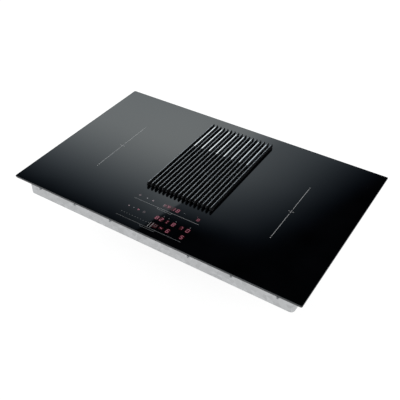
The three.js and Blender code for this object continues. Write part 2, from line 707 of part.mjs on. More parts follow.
// A row of open chambers, each with the head of its clamping screw in the bottom.
function terminalBlock() {
  const pitch = TERMINAL_DEPTH / TERMINAL_POLES;
  const halfChamber = (pitch - TERMINAL_WEB) / 2;
  const seat = TERMINAL_HEIGHT / 2;
  let terminal = block(-TERMINAL_WIDTH / 2, TERMINAL_WIDTH / 2,
    -TERMINAL_DEPTH / 2, TERMINAL_DEPTH / 2, 0, TERMINAL_HEIGHT);
  for (let i = 0; i < TERMINAL_POLES; i += 1) {
    const y = (i - (TERMINAL_POLES - 1) / 2) * pitch;
    const chamber = block(-TERMINAL_WIDTH / 2 - PASS, 0, y - halfChamber, y + halfChamber,
      seat, TERMINAL_HEIGHT + PASS);
    const screw = disc(TERMINAL_SCREW, seat - PASS, seat + TERMINAL_SCREW_RISE, PIN_SIDES);
    terminal = join(cut(terminal, chamber), screw.translate([-TERMINAL_WIDTH / 4, y, 0]));
  }
  return terminal;
}

// A bent leaf on the side wall that grips the edge of the worktop cut-out.
function fixingSpring() {
  const shape = bentStrip([
    [0, 0],
    [0, SPRING_HEIGHT],
    [SPRING_REACH * SPRING_SHOULDER, SPRING_HEIGHT],
    [SPRING_REACH, SPRING_HEIGHT * SPRING_NOSE_TOP],
    [SPRING_REACH, SPRING_HEIGHT * SPRING_NOSE_BOTTOM],
    [SPRING_REACH * SPRING_SHOULDER, SPRING_HEIGHT * SPRING_TOE],
  ], -SPRING_STEEL);
  return prism(shape, -SPRING_WIDTH / 2, SPRING_WIDTH / 2, 'y');
}

place(cooktop, 'casing_tray', casingTray(), galvanised());
place(cooktop, 'cable_gland', cableGland(), blackPlastic(),
  TERMINAL_X, CASING_DEPTH / 2 - SHEET - FIT - GLAND_INSIDE, GLAND_Z);
place(cooktop, 'terminal_block', terminalBlock(), whitePlastic(),
  TERMINAL_X, CASING_DEPTH / 2 - SHEET - TERMINAL_DEPTH, CASING_FLOOR_Z + FIT);
[[-1, -1], [1, -1], [-1, 1], [1, 1]].forEach(([sideX, sideY], i) => {
  const spring = place(cooktop, `fixing_spring_${i + 1}`, fixingSpring(), springSteel(),
    sideX * (CASING_WIDTH / 2 + FIT), sideY * SPRING_Y, CASING_BOTTOM_Z + SPRING_RAISE);
  if (sideX < 0) spring.rotation.z = Math.PI;
});

// ---------------------------------------------------------------- induction coils

// A winding bonded to its carrier, with a post in the middle for the temperature sensor.
function inductionCoil() {
  const top = CARRIER_THICKNESS + WINDING_THICKNESS;
  return turned([
    [0, 0],
    [COIL_RADIUS + CARRIER_RIM, 0],
    [COIL_RADIUS + CARRIER_RIM, CARRIER_THICKNESS],
    [COIL_RADIUS, CARRIER_THICKNESS],
    [COIL_RADIUS, top],
    [COIL_EYE, top],
    [COIL_EYE, CARRIER_THICKNESS],
    [COIL_EYE / 2, CARRIER_THICKNESS],
    [COIL_EYE / 2, top],
    [0, top],
  ], ROUND_SIDES);
}

// A folded aluminium bench: the flat top carries two coils, the legs stand on the casing.
function coilPlate() {
  const half = PLATE_WIDTH / 2;
  const leg = PLATE_TOP_Z - CASING_FLOOR_Z - FIT;
  const shape = bentStrip([[-half, -leg], [-half, 0], [half, 0], [half, -leg]], -PLATE_THICKNESS);
  const bench = prism(shape, -PLATE_DEPTH / 2, PLATE_DEPTH / 2, 'y');
  const hole = disc(PLATE_HOLE, -PLATE_THICKNESS - PASS, PASS, ROUND_SIDES);
  return cut(bench, hole.translate([0, -COIL_Y, 0]), hole.translate([0, COIL_Y, 0]));
}

for (const [sideX, left] of [[-1, 'left'], [1, 'right']]) {
  place(cooktop, `coil_plate_${left}`, coilPlate(), aluminium(), sideX * BENCH_X, 0, PLATE_TOP_Z);
  for (const [sideY, front] of [[-1, 'front'], [1, 'rear']]) {
    place(cooktop, `induction_coil_${front}_${left}`, inductionCoil(), copper(),
      sideX * BENCH_X, sideY * COIL_Y, COIL_BOTTOM_Z);
  }
}

// ---------------------------------------------------------------- power electronics

// A box-shaped component soldered to the top of a board.
function component(width, length, height) {
  return block(-width / 2, width / 2, -length / 2, length / 2,
    BOARD_THICKNESS / 2, BOARD_THICKNESS + height);
}

// The board with its larger components in two strips beside the heat sink.
function powerBoard() {
  const board = block(-BOARD_WIDTH / 2, BOARD_WIDTH / 2, -BOARD_DEPTH / 2, BOARD_DEPTH / 2,
    0, BOARD_THICKNESS);
  const choke = ring(CHOKE_BORE, CHOKE_RADIUS, BOARD_THICKNESS / 2, BOARD_THICKNESS + CHOKE_HEIGHT,
    SMALL_SIDES);
  const capacitor = component(CAPACITOR_WIDTH, CAPACITOR_LENGTH, CAPACITOR_HEIGHT);
  const relay = component(RELAY_WIDTH, RELAY_LENGTH, RELAY_HEIGHT);
  const strip = (SINK_WIDTH + BOARD_WIDTH) / 4;
  const left = [capacitor, choke, capacitor, relay];
  const right = [relay, capacitor, choke, capacitor];
  const pitch = BOARD_DEPTH / left.length;
  const row = (parts, x) => parts.map(
    (part, i) => part.translate([x, (i - (parts.length - 1) / 2) * pitch, 0]));
  return join(board, ...row(left, -strip), ...row(right, strip));
}

function heatSink() {
  const pitch = (SINK_WIDTH - FIN_THICKNESS) / (FIN_COUNT - 1);
  const outline = [[-SINK_WIDTH / 2, 0], [SINK_WIDTH / 2, 0]];
  for (let i = FIN_COUNT - 1; i >= 0; i -= 1) {
    const x = -SINK_WIDTH / 2 + i * pitch;
    if (i < FIN_COUNT - 1) outline.push([x + FIN_THICKNESS, SINK_BASE]);
    outline.push([x + FIN_THICKNESS, SINK_HEIGHT], [x, SINK_HEIGHT]);
    if (i > 0) outline.push([x, SINK_BASE]);
  }
  return prism(polygon(outline), -SINK_DEPTH / 2, SINK_DEPTH / 2, 'y');
}

function fanHousing() {
  const frame = prism(roundedRectangle(FAN_SIZE, FAN_SIZE, FAN_CORNER), 0, FAN_HEIGHT, 'z', 1);
  const bore = disc(FAN_BORE, -PASS, FAN_HEIGHT + PASS, ROUND_SIDES);
  const pin = disc(FAN_PIN, 0, FAN_HEIGHT - FAN_FLOOR, SMALL_SIDES);
  const strut = block(-FAN_BORE - PASS, FAN_BORE + PASS, -FAN_STRUT / 2, FAN_STRUT / 2,
    0, FAN_FLOOR);
  return join(cut(frame, bore), pin, disc(FAN_HUB, 0, FAN_FLOOR, HUB_SIDES), strut,
    strut.rotate([0, 0, 90]));
}

function fanRotor() {
  const bottom = FAN_FLOOR + FIT;
  const top = FAN_HEIGHT - FAN_FLOOR;
  const tip = FAN_BORE - FAN_TIP_GAP;
  const height = top - bottom;
  const hub = ring(FAN_PIN + FIT, FAN_HUB, bottom, top, HUB_SIDES);
  const bladeShape = bentStrip([
    [0, bottom + FAN_BLADE_INSET],
    [height * FAN_BLADE_KNEE, (top + bottom) / 2],
    [height * FAN_BLADE_END, top - FAN_BLADE_INSET],
  ], FAN_BLADE_THICKNESS);
  const blade = prism(bladeShape, -tip, -FAN_HUB + FAN_BLADE_INSET, 'y');
  const reach = disc(tip, bottom, top, ROUND_SIDES);
  let rotor = hub;
  for (let i = 0; i < FAN_BLADES; i += 1) {
    rotor = join(rotor, blade.intersect(reach).rotate([0, 0, (i * 360) / FAN_BLADES]));
  }
  return rotor;
}

for (const [sideX, left] of [[-1, 'left'], [1, 'right']]) {
  const x = sideX * BENCH_X;
  place(cooktop, `power_board_${left}`, powerBoard(), boardGreen(), x, BOARD_Y, BOARD_BOTTOM_Z);
  place(cooktop, `heat_sink_${left}`, heatSink(), aluminium(), x, BOARD_Y, BOARD_TOP_Z + FIT);
  place(cooktop, `fan_housing_${left}`, fanHousing(), blackPlastic(),
    x, FAN_Y, CASING_FLOOR_Z + FIT);
  place(cooktop, `fan_rotor_${left}`, fanRotor(), greyPlastic(),
    x, FAN_Y, CASING_FLOOR_Z + FIT);
}

// ---------------------------------------------------------------- touch control

function touchCarrier() {
  const z0 = CASING_FLOOR_Z + FIT;
  const z1 = TOUCH_TOP_Z - BOARD_THICKNESS - FIT;
  const outside = block(-TOUCH_WIDTH / 2, TOUCH_WIDTH / 2, -TOUCH_DEPTH / 2, TOUCH_DEPTH / 2, z0, z1);
  const inside = block(TOUCH_WALL - TOUCH_WIDTH / 2, TOUCH_WIDTH / 2 - TOUCH_WALL,
    TOUCH_WALL - TOUCH_DEPTH / 2, TOUCH_DEPTH / 2 - TOUCH_WALL, z0 - PASS, z1 - TOUCH_WALL);
  const doorway = block(-TOUCH_DOORWAY / 2, TOUCH_DOORWAY / 2, -TOUCH_DEPTH, TOUCH_DEPTH,
    z0 - PASS, (z0 + z1) / 2);
  return cut(outside, inside, doorway);
}

function touchBoard() {
  const z0 = TOUCH_TOP_Z - BOARD_THICKNESS;
  const board = block(-TOUCH_WIDTH / 2, TOUCH_WIDTH / 2, -TOUCH_DEPTH / 2, TOUCH_DEPTH / 2,
    z0, TOUCH_TOP_Z);
  const display = block(DISPLAY_FROM_LEFT - TOUCH_WIDTH / 2, TOUCH_WIDTH / 2 - DISPLAY_FROM_RIGHT,
    -DISPLAY_DEPTH / 2, DISPLAY_DEPTH / 2, z0, TOUCH_TOP_Z + DISPLAY_HEIGHT);
  const row = (TOUCH_DEPTH - DISPLAY_DEPTH) / 2 - DISPLAY_FROM_EDGE;
  return join(board, display.translate([0, row, 0]), display.translate([0, -row, 0]), display);
}

place(cooktop, 'touch_board_carrier', touchCarrier(), greyPlastic(), 0, TOUCH_Y, 0);
place(cooktop, 'touch_board', touchBoard(), boardGreen(), 0, TOUCH_Y, 0);

// ---------------------------------------------------------------- filter well and filter

function filterWell() {
  const outerCorner = WELL_CORNER + WELL_WALL;
  const tube = prism(roundedRectangle(WELL_WIDTH + 2 * WELL_WALL, WELL_DEPTH + 2 * WELL_WALL,
    outerCorner), WELL_BOTTOM_Z, WELL_TOP_Z);
  const flange = prism(roundedRectangle(WELL_WIDTH + 2 * WELL_FLANGE, WELL_DEPTH + 2 * WELL_FLANGE,
    outerCorner), WELL_TOP_Z - WELL_WALL, WELL_TOP_Z);
  const shaft = prism(roundedRectangle(WELL_WIDTH, WELL_DEPTH, WELL_CORNER), LEDGE_TOP_Z, GLASS_TOP_Z);
  const mouth = prism(roundedRectangle(WELL_WIDTH - 2 * WELL_MARGIN - 2 * WELL_LEDGE,
    WELL_DEPTH - 2 * WELL_MARGIN - 2 * WELL_LEDGE, WELL_CORNER), WELL_BOTTOM_Z - PASS, GLASS_TOP_Z);
  return cut(join(tube, flange), shaft, mouth);
}

// The cassette: a deep frame with a lip below, on which the expanded sheet lies.
function filterFrame() {
  const top = FILTER_BOTTOM_Z + FILTER_HEIGHT;
  const outside = prism(roundedRectangle(FILTER_WIDTH, FILTER_DEPTH, OPENING_CORNER - FILTER_CLEARANCE),
    FILTER_BOTTOM_Z, top);
  const inside = prism(roundedRectangle(FILTER_WIDTH - 2 * FILTER_SHEET, FILTER_DEPTH - 2 * FILTER_SHEET,
    OPENING_CORNER - FILTER_CLEARANCE - FILTER_SHEET), FILTER_BOTTOM_Z + FILTER_SHEET, top + PASS);
  const mouth = prism(roundedRectangle(FILTER_WIDTH - 2 * FILTER_LIP, FILTER_DEPTH - 2 * FILTER_LIP,
    OPENING_CORNER - FILTER_CLEARANCE), FILTER_BOTTOM_Z - PASS, top);
  return cut(outside, inside, mouth);
}

// Expanded metal: diamond holes in staggered rows.
function filterMesh() {
  const width = FILTER_WIDTH - 2 * FILTER_SHEET - 2 * FIT;
  const depth = FILTER_DEPTH - 2 * FILTER_SHEET - 2 * FIT;
  const sheet = roundedRectangle(width, depth, OPENING_CORNER - FILTER_CLEARANCE - FILTER_SHEET);
  const fieldWidth = FILTER_WIDTH - 2 * FILTER_LIP;
  const fieldDepth = FILTER_DEPTH - 2 * FILTER_LIP;
  const pitchX = fieldWidth / MESH_COLUMNS;
  const pitchY = fieldDepth / MESH_ROWS;
  const reachX = pitchX / 2 - MESH_STRAND / 2;
  const reachY = pitchY - MESH_STRAND;
  for (let row = 1; row < MESH_ROWS; row += 1) {
    const shift = row % 2 ? 0 : 0.5;
    for (let column = 0; column < MESH_COLUMNS - 2 * shift; column += 1) {
      const x = (column + 0.5 + shift) * pitchX - fieldWidth / 2;
      const y = row * pitchY - fieldDepth / 2;
      const corners = [[x - reachX, y], [x, y - reachY], [x + reachX, y], [x, y + reachY]];
      sheet.holes.push(polygon(corners));
    }
  }
  return prism(sheet, MESH_BOTTOM_Z, MESH_TOP_Z);
}

function filterHandle() {
  const half = FILTER_WIDTH / 2 - FILTER_SHEET - FIT;
  const z0 = MESH_TOP_Z + FIT;
  const shape = bentStrip([
    [-half, z0],
    [-HANDLE_GRIP / 2 - HANDLE_SLOPE, z0],
    [-HANDLE_GRIP / 2, z0 + HANDLE_RISE],
    [HANDLE_GRIP / 2, z0 + HANDLE_RISE],
    [HANDLE_GRIP / 2 + HANDLE_SLOPE, z0],
    [half, z0],
  ], HANDLE_STEEL);
  return prism(shape, -HANDLE_WIDTH / 2, HANDLE_WIDTH / 2, 'y');
}

place(suction, 'filter_well', filterWell(), blackPlastic());
place(suction, 'filter_frame', filterFrame(), stainless());
place(suction, 'filter_mesh', filterMesh(), stainless());
place(suction, 'filter_handle', filterHandle(), stainless());

// ---------------------------------------------------------------- plenum, tray and nozzle

function plenum() {
  const outer = roundedRectangle(PLENUM_WIDTH, PLENUM_DEPTH, PLENUM_CORNER);
  const box = prism(outer, PLENUM_BOTTOM_Z, PLENUM_TOP_Z);
  const inner = roundedRectangle(PLENUM_WIDTH - 2 * PLENUM_WALL, PLENUM_DEPTH - 2 * PLENUM_WALL,
    PLENUM_CORNER - PLENUM_WALL);
  const hollow = prism(inner, PLENUM_FLOOR_Z, PLENUM_TOP_Z + PASS);
  const rim = roundedRectangle(PLENUM_WIDTH + 2 * PLENUM_FLANGE, PLENUM_DEPTH + 2 * PLENUM_FLANGE,
    PLENUM_CORNER + PLENUM_FLANGE);
  const flange = prism(rim, PLENUM_TOP_Z - PLENUM_WALL, PLENUM_TOP_Z);
  const hole = disc(NOZZLE_THROAT + NOZZLE_WALL + NOZZLE_PLAY,
    PLENUM_BOTTOM_Z - PASS, PLENUM_FLOOR_Z + PASS, LARGE_SIDES);
  return cut(join(box, flange), hollow, hole);
}

// A dish that lies round the nozzle and catches what boils over.
function overflowTray() {
  const width = OPENING_WIDTH - 2 * WELL_LEDGE - 2 * TRAY_CLEARANCE;
  const depth = OPENING_DEPTH - 2 * WELL_LEDGE - 2 * TRAY_CLEARANCE;
  const z0 = PLENUM_FLOOR_Z + FIT;
  const z1 = z0 + TRAY_HEIGHT;
  const collar = NOZZLE_SKIRT + TRAY_CLEARANCE;
  const outside = prism(roundedRectangle(width, depth, WELL_CORNER), z0, z1);
  const inside = cut(
    prism(roundedRectangle(width - 2 * TRAY_WALL, depth - 2 * TRAY_WALL, WELL_CORNER - TRAY_WALL),
      z0 + TRAY_WALL, z1 + PASS),
    disc(collar + TRAY_WALL, z0, z1 + 2 * PASS, LARGE_SIDES),
  );
  return cut(outside, inside, disc(collar, z0 - PASS, z1 + PASS, LARGE_SIDES));
}

// A bellmouth on a skirt that keeps spilt liquid out of the blower.
function inletNozzle() {
  const throat = NOZZLE_THROAT;
  const skirt = NOZZLE_SKIRT;
  const z0 = PLENUM_FLOOR_Z + FIT;
  const lip = NOZZLE_TOP_Z - NOZZLE_LIP;
  const foot = WHEEL_TOP_Z - NOZZLE_OVERLAP;
  const steps = 3;
  const outside = [];
  const inside = [];
  for (let i = 0; i <= steps; i += 1) {
    const angle = (i / steps) * Math.PI;
    const arc = (radius) => [throat + NOZZLE_LIP + radius * Math.cos(angle), lip + radius * Math.sin(angle)];
    outside.push(arc(NOZZLE_LIP));
    inside.unshift(arc(NOZZLE_LIP - NOZZLE_WALL));
  }
  return turned([
    [throat, foot],
    [throat + NOZZLE_WALL, foot],
    ...inside,
    [skirt - NOZZLE_WALL, z0],
    [skirt, z0],
    ...outside,
  ], ROUND_SIDES);
}

place(suction, 'plenum', plenum(), greyPlastic());
place(suction, 'overflow_tray', overflowTray(), blackPlastic());
place(suction, 'inlet_nozzle', inletNozzle(), blackPlastic());

// ---------------------------------------------------------------- blower housing

// The spiral that the air follows, from the tongue round to the start of the outlet.
function spiralPoints(offset) {
  const turn = 2 * Math.PI - TONGUE_ANGLE;
  const steps = 24;
  const points = [];
  for (let i = 0; i <= steps; i += 1) {
    const share = i / steps;
    const radius = TONGUE_RADIUS + (SCROLL_END_RADIUS - TONGUE_RADIUS) * share + offset;
    const angle = TONGUE_ANGLE + turn * share;
    points.push([radius * Math.cos(angle), radius * Math.sin(angle)]);
  }
  return points;
}

// The air space of the scroll and its outlet, grown outwards by an offset.
function scrollSpace(offset, z0, z1) {
  const end = OUTLET_Y - SUCTION_Y;
  const tongue = new THREE.Vector2(Math.cos(TONGUE_ANGLE), Math.sin(TONGUE_ANGLE))
    .multiplyScalar(TONGUE_RADIUS);
  const innerEnd = new THREE.Vector2(SCROLL_END_RADIUS - OUTLET_INNER_WIDTH, end);
  const wall = innerEnd.clone().sub(tongue).normalize();
  const out = new THREE.Vector2(-wall.y, wall.x).multiplyScalar(offset);
  const spiral = prism(polygon([...spiralPoints(offset), [0, 0]]), z0, z1);
  const outlet = prism(polygon([
    [0, 0],
    [SCROLL_END_RADIUS + offset, 0],
    [SCROLL_END_RADIUS + offset, end],
    [innerEnd.x - offset, end],
    [innerEnd.x - offset, end - SPIGOT_WALL],
    [tongue.x + out.x, tongue.y + out.y],
  ]), z0, z1);
  return join(spiral, outlet);
}

function ears(z0, z1, airSpace) {
  const ear = disc(EAR_RADIUS, z0, z1, SMALL_SIDES);
  return cut(join(...EAR_PLACES.map(([x, y]) => ear.translate([x, y, 0]))), airSpace);
}

function screwHoles(radius) {
  const hole = disc(radius, SPLIT_Z - 2 * EAR_THICKNESS, SPLIT_Z + 2 * EAR_THICKNESS, PIN_SIDES);
  return join(...EAR_PLACES.map(([x, y]) => hole.translate([x, y, 0])));
}

// The opening from the scroll into the spigot.
function outletMouth() {
  const half = OUTLET_INNER_WIDTH / 2;
  const y = OUTLET_Y - SUCTION_Y;
  return block(OUTLET_X - half, OUTLET_X + half, y - SPIGOT_WALL, y + PASS,
    SCROLL_WALL, SCROLL_HEIGHT - SCROLL_WALL);
}

function scrollLower() {
  const air = scrollSpace(0, SCROLL_WALL, SCROLL_HEIGHT);
  const shell = scrollSpace(SCROLL_WALL, 0, SPLIT_Z - FIT / 2);
  const lugs = ears(SPLIT_Z - FIT / 2 - EAR_THICKNESS, SPLIT_Z - FIT / 2, air);
  return cut(join(shell, lugs), air, outletMouth(), screwHoles(SCREW_RADIUS + FIT));
}

function scrollUpper() {
  const air = scrollSpace(0, 0, SCROLL_HEIGHT - SCROLL_WALL);
  const shell = scrollSpace(SCROLL_WALL, SPLIT_Z + FIT / 2, SCROLL_HEIGHT);
  const lugs = ears(SPLIT_Z + FIT / 2, SPLIT_Z + FIT / 2 + EAR_THICKNESS, air);
  const inlet = disc(NOZZLE_THROAT + NOZZLE_WALL + NOZZLE_PLAY, 0, SCROLL_HEIGHT + PASS,
    LARGE_SIDES);
  return cut(join(shell, lugs), air, inlet, outletMouth(), screwHoles(SCREW_RADIUS + FIT));
}

function scrollScrew() {
  const seat = SPLIT_Z + FIT / 2 + EAR_THICKNESS + FIT;
  return turned([
    [0, SPLIT_Z - EAR_THICKNESS],
    [SCREW_RADIUS, SPLIT_Z - EAR_THICKNESS],
    [SCREW_RADIUS, seat],
    [SCREW_HEAD, seat],
    [SCREW_HEAD, seat + SCREW_HEAD_HEIGHT / 2],
    [SCREW_HEAD / 2, seat + SCREW_HEAD_HEIGHT],
    [0, seat + SCREW_HEAD_HEIGHT],
  ], PIN_SIDES);
}

place(suction, 'scroll_lower', scrollLower(), blackPlastic());
place(suction, 'scroll_upper', scrollUpper(), blackPlastic());
EAR_PLACES.forEach(([x, y], i) => {
  place(suction, `scroll_screw_${i + 1}`, scrollScrew(), stainless(), x, y, 0);
});

// ---------------------------------------------------------------- impeller and motor

// One forward-curved blade, seen from above: its line leans into the sense of rotation.
function bladeOutline() {
  const steps = 2;
  const near = [];
  const far = [];
  for (let i = 0; i <= steps; i += 1) {
    const share = i / steps;
    const radius = WHEEL_INNER + (WHEEL_RADIUS - WHEEL_INNER) * share;
    const angle = BLADE_SWEEP * share * share;
    const half = BLADE_THICKNESS / 2 / radius;
    near.push([radius * Math.cos(angle - half), radius * Math.sin(angle - half)]);
    far.unshift([radius * Math.cos(angle + half), radius * Math.sin(angle + half)]);
  }
  return polygon([...near, ...far]);
}

function impeller() {
  const floor = WHEEL_BOTTOM_Z;
  const bore = SHAFT_RADIUS + FIT;
  const dome = DOME_RADIUS;
  const shoulder = WHEEL_PLATE * 3;
  const body = turned([
    [bore, DOME_TOP_Z - HUB_LENGTH / 2],
    [HUB_RADIUS, DOME_TOP_Z - HUB_LENGTH / 2],
    [HUB_RADIUS, DOME_TOP_Z - WHEEL_PLATE],
    [dome - shoulder, DOME_TOP_Z - WHEEL_PLATE],
    [dome - WHEEL_PLATE, DOME_TOP_Z - shoulder],
    [dome - WHEEL_PLATE, floor],
    [WHEEL_RADIUS, floor],
    [WHEEL_RADIUS, floor + WHEEL_PLATE],
    [dome + WHEEL_PLATE, floor + WHEEL_PLATE],
    [dome, floor + 2 * WHEEL_PLATE],
    [dome, DOME_TOP_Z - shoulder],
    [dome - shoulder, DOME_TOP_Z],
    [HUB_RADIUS, DOME_TOP_Z],
    [HUB_RADIUS, DOME_TOP_Z + HUB_LENGTH / 2],
    [bore, DOME_TOP_Z + HUB_LENGTH / 2],
  ], LARGE_SIDES);
  const rim = ring(WHEEL_RADIUS - WHEEL_PLATE, WHEEL_RADIUS + WHEEL_PLATE,
    WHEEL_TOP_Z - 2 * WHEEL_PLATE, WHEEL_TOP_Z, LARGE_SIDES);
  const blade = prism(bladeOutline(), floor + WHEEL_PLATE / 2, WHEEL_TOP_Z - WHEEL_PLATE);
  let wheel = join(body, rim);
  for (let i = 0; i < BLADE_COUNT; i += 1) {
    wheel = wheel.add(blade.rotate([0, 0, (i * 360) / BLADE_COUNT]));
  }
  return wheel;
}

function motorStator() {
  const bore = BEARING_RADIUS + FIT;
  const body = turned([
    [bore, STATOR_BOTTOM_Z],
    [STATOR_BASE, STATOR_BOTTOM_Z],
    [STATOR_BASE, STATOR_BOTTOM_Z + STATOR_BASE_HEIGHT],
    [STATOR_RADIUS, STATOR_BOTTOM_Z + STATOR_BASE_HEIGHT],
    [STATOR_RADIUS, STATOR_TOP_Z],
    [bore, STATOR_TOP_Z],
  ], ROUND_SIDES);
  const slot = block(STATOR_RADIUS - STATOR_SLOT_DEPTH, STATOR_RADIUS + PASS,
    -STATOR_SLOT_WIDTH / 2, STATOR_SLOT_WIDTH / 2,
    STATOR_BOTTOM_Z + 2 * STATOR_BASE_HEIGHT, STATOR_TOP_Z + PASS);
  let stator = body;
  for (let i = 0; i < STATOR_SLOTS; i += 1) {
    stator = cut(stator, slot.rotate([0, 0, (i * 360) / STATOR_SLOTS]));
  }
  return stator;
}

function motorShaft() {
  return disc(SHAFT_RADIUS, STATOR_BOTTOM_Z + SHAFT_END,
    DOME_TOP_Z + HUB_LENGTH / 2 + SHAFT_END, ROUND_SIDES);
}

function motorBearing() {
  return ring(SHAFT_RADIUS + FIT, BEARING_RADIUS, 0, BEARING_WIDTH, HUB_SIDES);
}

place(suction, 'impeller', impeller(), blackPlastic());
place(suction, 'motor_shaft', motorShaft(), polishedSteel());
place(suction, 'motor_stator', motorStator(), motorSteel());
place(suction, 'motor_bearing_lower', motorBearing(), polishedSteel(),
  0, 0, STATOR_BOTTOM_Z + BEARING_RAISE);
place(suction, 'motor_bearing_upper', motorBearing(), polishedSteel(),
  0, 0, STATOR_TOP_Z - BEARING_WIDTH);

// ---------------------------------------------------------------- outlet and flap

function outletSpigot() {
  const outside = prism(roundedRectangle(SPIGOT_WIDTH, SPIGOT_HEIGHT, SPIGOT_CORNER),
    0, SPIGOT_LENGTH, 'y', 1);
  const flange = prism(roundedRectangle(SPIGOT_WIDTH + 2 * SPIGOT_RIM, SCROLL_HEIGHT - 2 * SPIGOT_EASE,
    SPIGOT_CORNER), 0, SPIGOT_FLANGE, 'y', 1);
  const bore = prism(roundedRectangle(SPIGOT_WIDTH - 2 * SPIGOT_WALL, SPIGOT_HEIGHT - 2 * SPIGOT_WALL,
    SPIGOT_CORNER - SPIGOT_WALL), -PASS, SPIGOT_LENGTH + PASS, 'y', 1);
  const half = OUTLET_INNER_WIDTH / 2;
  const stopHeight = SPIGOT_HEIGHT / 2 - SPIGOT_WALL / 2;
  const stopY = LEAF_SETBACK - LEAF_THICKNESS / 2 - FIT;
  const stop = (x0, x1) => block(x0, x1, stopY - STOP_WIDTH, stopY, -stopHeight, stopHeight);
  const pinHole = disc(LEAF_PIN + FIT, -SPIGOT_WIDTH, SPIGOT_WIDTH, PIN_SIDES)
    .rotate([0, 90, 0])
    .translate([0, LEAF_SETBACK, 0]);
  const body = join(cut(join(outside, flange), bore),
    stop(-half - SPIGOT_WALL / 2, STOP_WIDTH - half), stop(half - STOP_WIDTH, half + SPIGOT_WALL / 2));
  return cut(body, pinHole.translate([0, 0, LEAF_AXIS_UPPER - SPIGOT_Z]),
    pinHole.translate([0, 0, LEAF_AXIS_LOWER - SPIGOT_Z]));
}

// One leaf of the non-return flap with its spindle along the top edge.
function flapLeaf() {
  const half = LEAF_WIDTH / 2;
  const reach = half + LEAF_SIDE_GAP + LEAF_PIN_SEAT;
  const spindle = disc(LEAF_PIN, -reach, reach, PIN_SIDES).rotate([0, 90, 0]);
  const leaf = block(-half, half, -LEAF_THICKNESS / 2, LEAF_THICKNESS / 2,
    -LEAF_REACH + LEAF_PIN + LEAF_END_GAP, 0);
  return join(leaf, spindle);
}

place(cooktop, 'outlet_spigot', outletSpigot(), greyPlastic(), OUTLET_X, SPIGOT_START_Y, SPIGOT_Z);
place(cooktop, 'flap_leaf_upper', flapLeaf(), whitePlastic(), OUTLET_X, LEAF_Y, LEAF_AXIS_UPPER);
place(cooktop, 'flap_leaf_lower', flapLeaf(), whitePlastic(), OUTLET_X, LEAF_Y, LEAF_AXIS_LOWER);

export default cooktop;
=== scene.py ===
"""Looks for the downdraft induction cooktop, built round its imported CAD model.

Metres, in the frame of the CAD model: +X is the user's right, +Y the back and +Z up. Sizes that
read better in millimetres are written times MM.
"""

import json
import math

import bmesh
import bpy
from mathutils import Matrix, Vector

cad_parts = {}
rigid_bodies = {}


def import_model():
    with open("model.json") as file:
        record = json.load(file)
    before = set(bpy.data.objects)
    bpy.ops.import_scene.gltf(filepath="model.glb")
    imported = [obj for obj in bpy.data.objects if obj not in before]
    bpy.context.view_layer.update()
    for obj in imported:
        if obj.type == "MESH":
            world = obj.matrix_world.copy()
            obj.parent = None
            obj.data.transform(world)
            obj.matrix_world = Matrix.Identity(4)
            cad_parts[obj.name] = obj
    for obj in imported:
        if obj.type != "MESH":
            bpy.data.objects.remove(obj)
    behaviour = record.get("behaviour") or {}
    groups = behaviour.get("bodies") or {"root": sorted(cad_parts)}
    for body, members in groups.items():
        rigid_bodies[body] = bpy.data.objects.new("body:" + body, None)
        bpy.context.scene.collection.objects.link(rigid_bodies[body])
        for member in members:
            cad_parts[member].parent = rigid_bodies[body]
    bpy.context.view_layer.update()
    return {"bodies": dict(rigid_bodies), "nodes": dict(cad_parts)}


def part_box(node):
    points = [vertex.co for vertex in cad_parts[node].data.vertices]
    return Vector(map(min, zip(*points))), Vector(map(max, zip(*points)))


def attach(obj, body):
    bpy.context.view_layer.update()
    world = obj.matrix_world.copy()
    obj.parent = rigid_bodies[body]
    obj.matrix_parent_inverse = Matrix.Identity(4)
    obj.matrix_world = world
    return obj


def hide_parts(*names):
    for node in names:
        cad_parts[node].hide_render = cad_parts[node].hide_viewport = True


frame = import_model()
nodes = frame["nodes"]
MM = 0.001

# ---------------------------------------------------------------- camera

LENS = 56.28
SENSOR = 36
AZIMUTH = math.radians(32.62)
ELEVATION = math.radians(39.93)
CAMERA_PLACE = Vector((0.6965, -1.0947, 1.2163))

camera_data = bpy.data.cameras.new("camera")
camera_data.lens = LENS
camera_data.sensor_width = SENSOR
camera = bpy.data.objects.new("camera", camera_data)
bpy.context.scene.collection.objects.link(camera)
back = Vector((
    math.sin(AZIMUTH) * math.cos(ELEVATION),
    -math.cos(AZIMUTH) * math.cos(ELEVATION),
    math.sin(ELEVATION),
))
camera.location = CAMERA_PLACE
camera.rotation_mode = "QUATERNION"
camera.rotation_quaternion = (-back).to_track_quat("-Z", "Y")
bpy.context.scene.camera = camera
bpy.context.scene.view_settings.view_transform = "Standard"

# ---------------------------------------------------------------- material nodes

NOISE_SPAN = (0.3, 0.7)  # between which nearly all of a noise texture lies


def material(name, color, roughness, metallic=0.0, ior=1.5):
    """A material with these values on its shader, and its object coordinates in metres."""
    made = bpy.data.materials.new(name)
    made.use_nodes = True
    tree = made.node_tree
    shader = tree.nodes["Principled BSDF"]
    shader.inputs["Base Color"].default_value = (*color, 1)
    shader.inputs["Roughness"].default_value = roughness
    shader.inputs["Metallic"].default_value = metallic
    shader.inputs["IOR"].default_value = ior
    place = tree.nodes.new("ShaderNodeTexCoord")
    place.name = "place"
    return made


def stretched(made, factors):
    """The object coordinates times a factor for each axis."""
    tree = made.node_tree
    scale = tree.nodes.new("ShaderNodeMapping")
    scale.inputs["Scale"].default_value = factors
    tree.links.new(tree.nodes["place"].outputs["Object"], scale.inputs["Vector"])
    return scale.outputs["Vector"]


def noise(made, per_metre, detail=3.0, factors=(1, 1, 1)):
    tree = made.node_tree
    texture = tree.nodes.new("ShaderNodeTexNoise")
    texture.inputs["Scale"].default_value = per_metre
    texture.inputs["Detail"].default_value = detail
    tree.links.new(stretched(made, factors), texture.inputs["Vector"])
    return texture.outputs["Fac"]


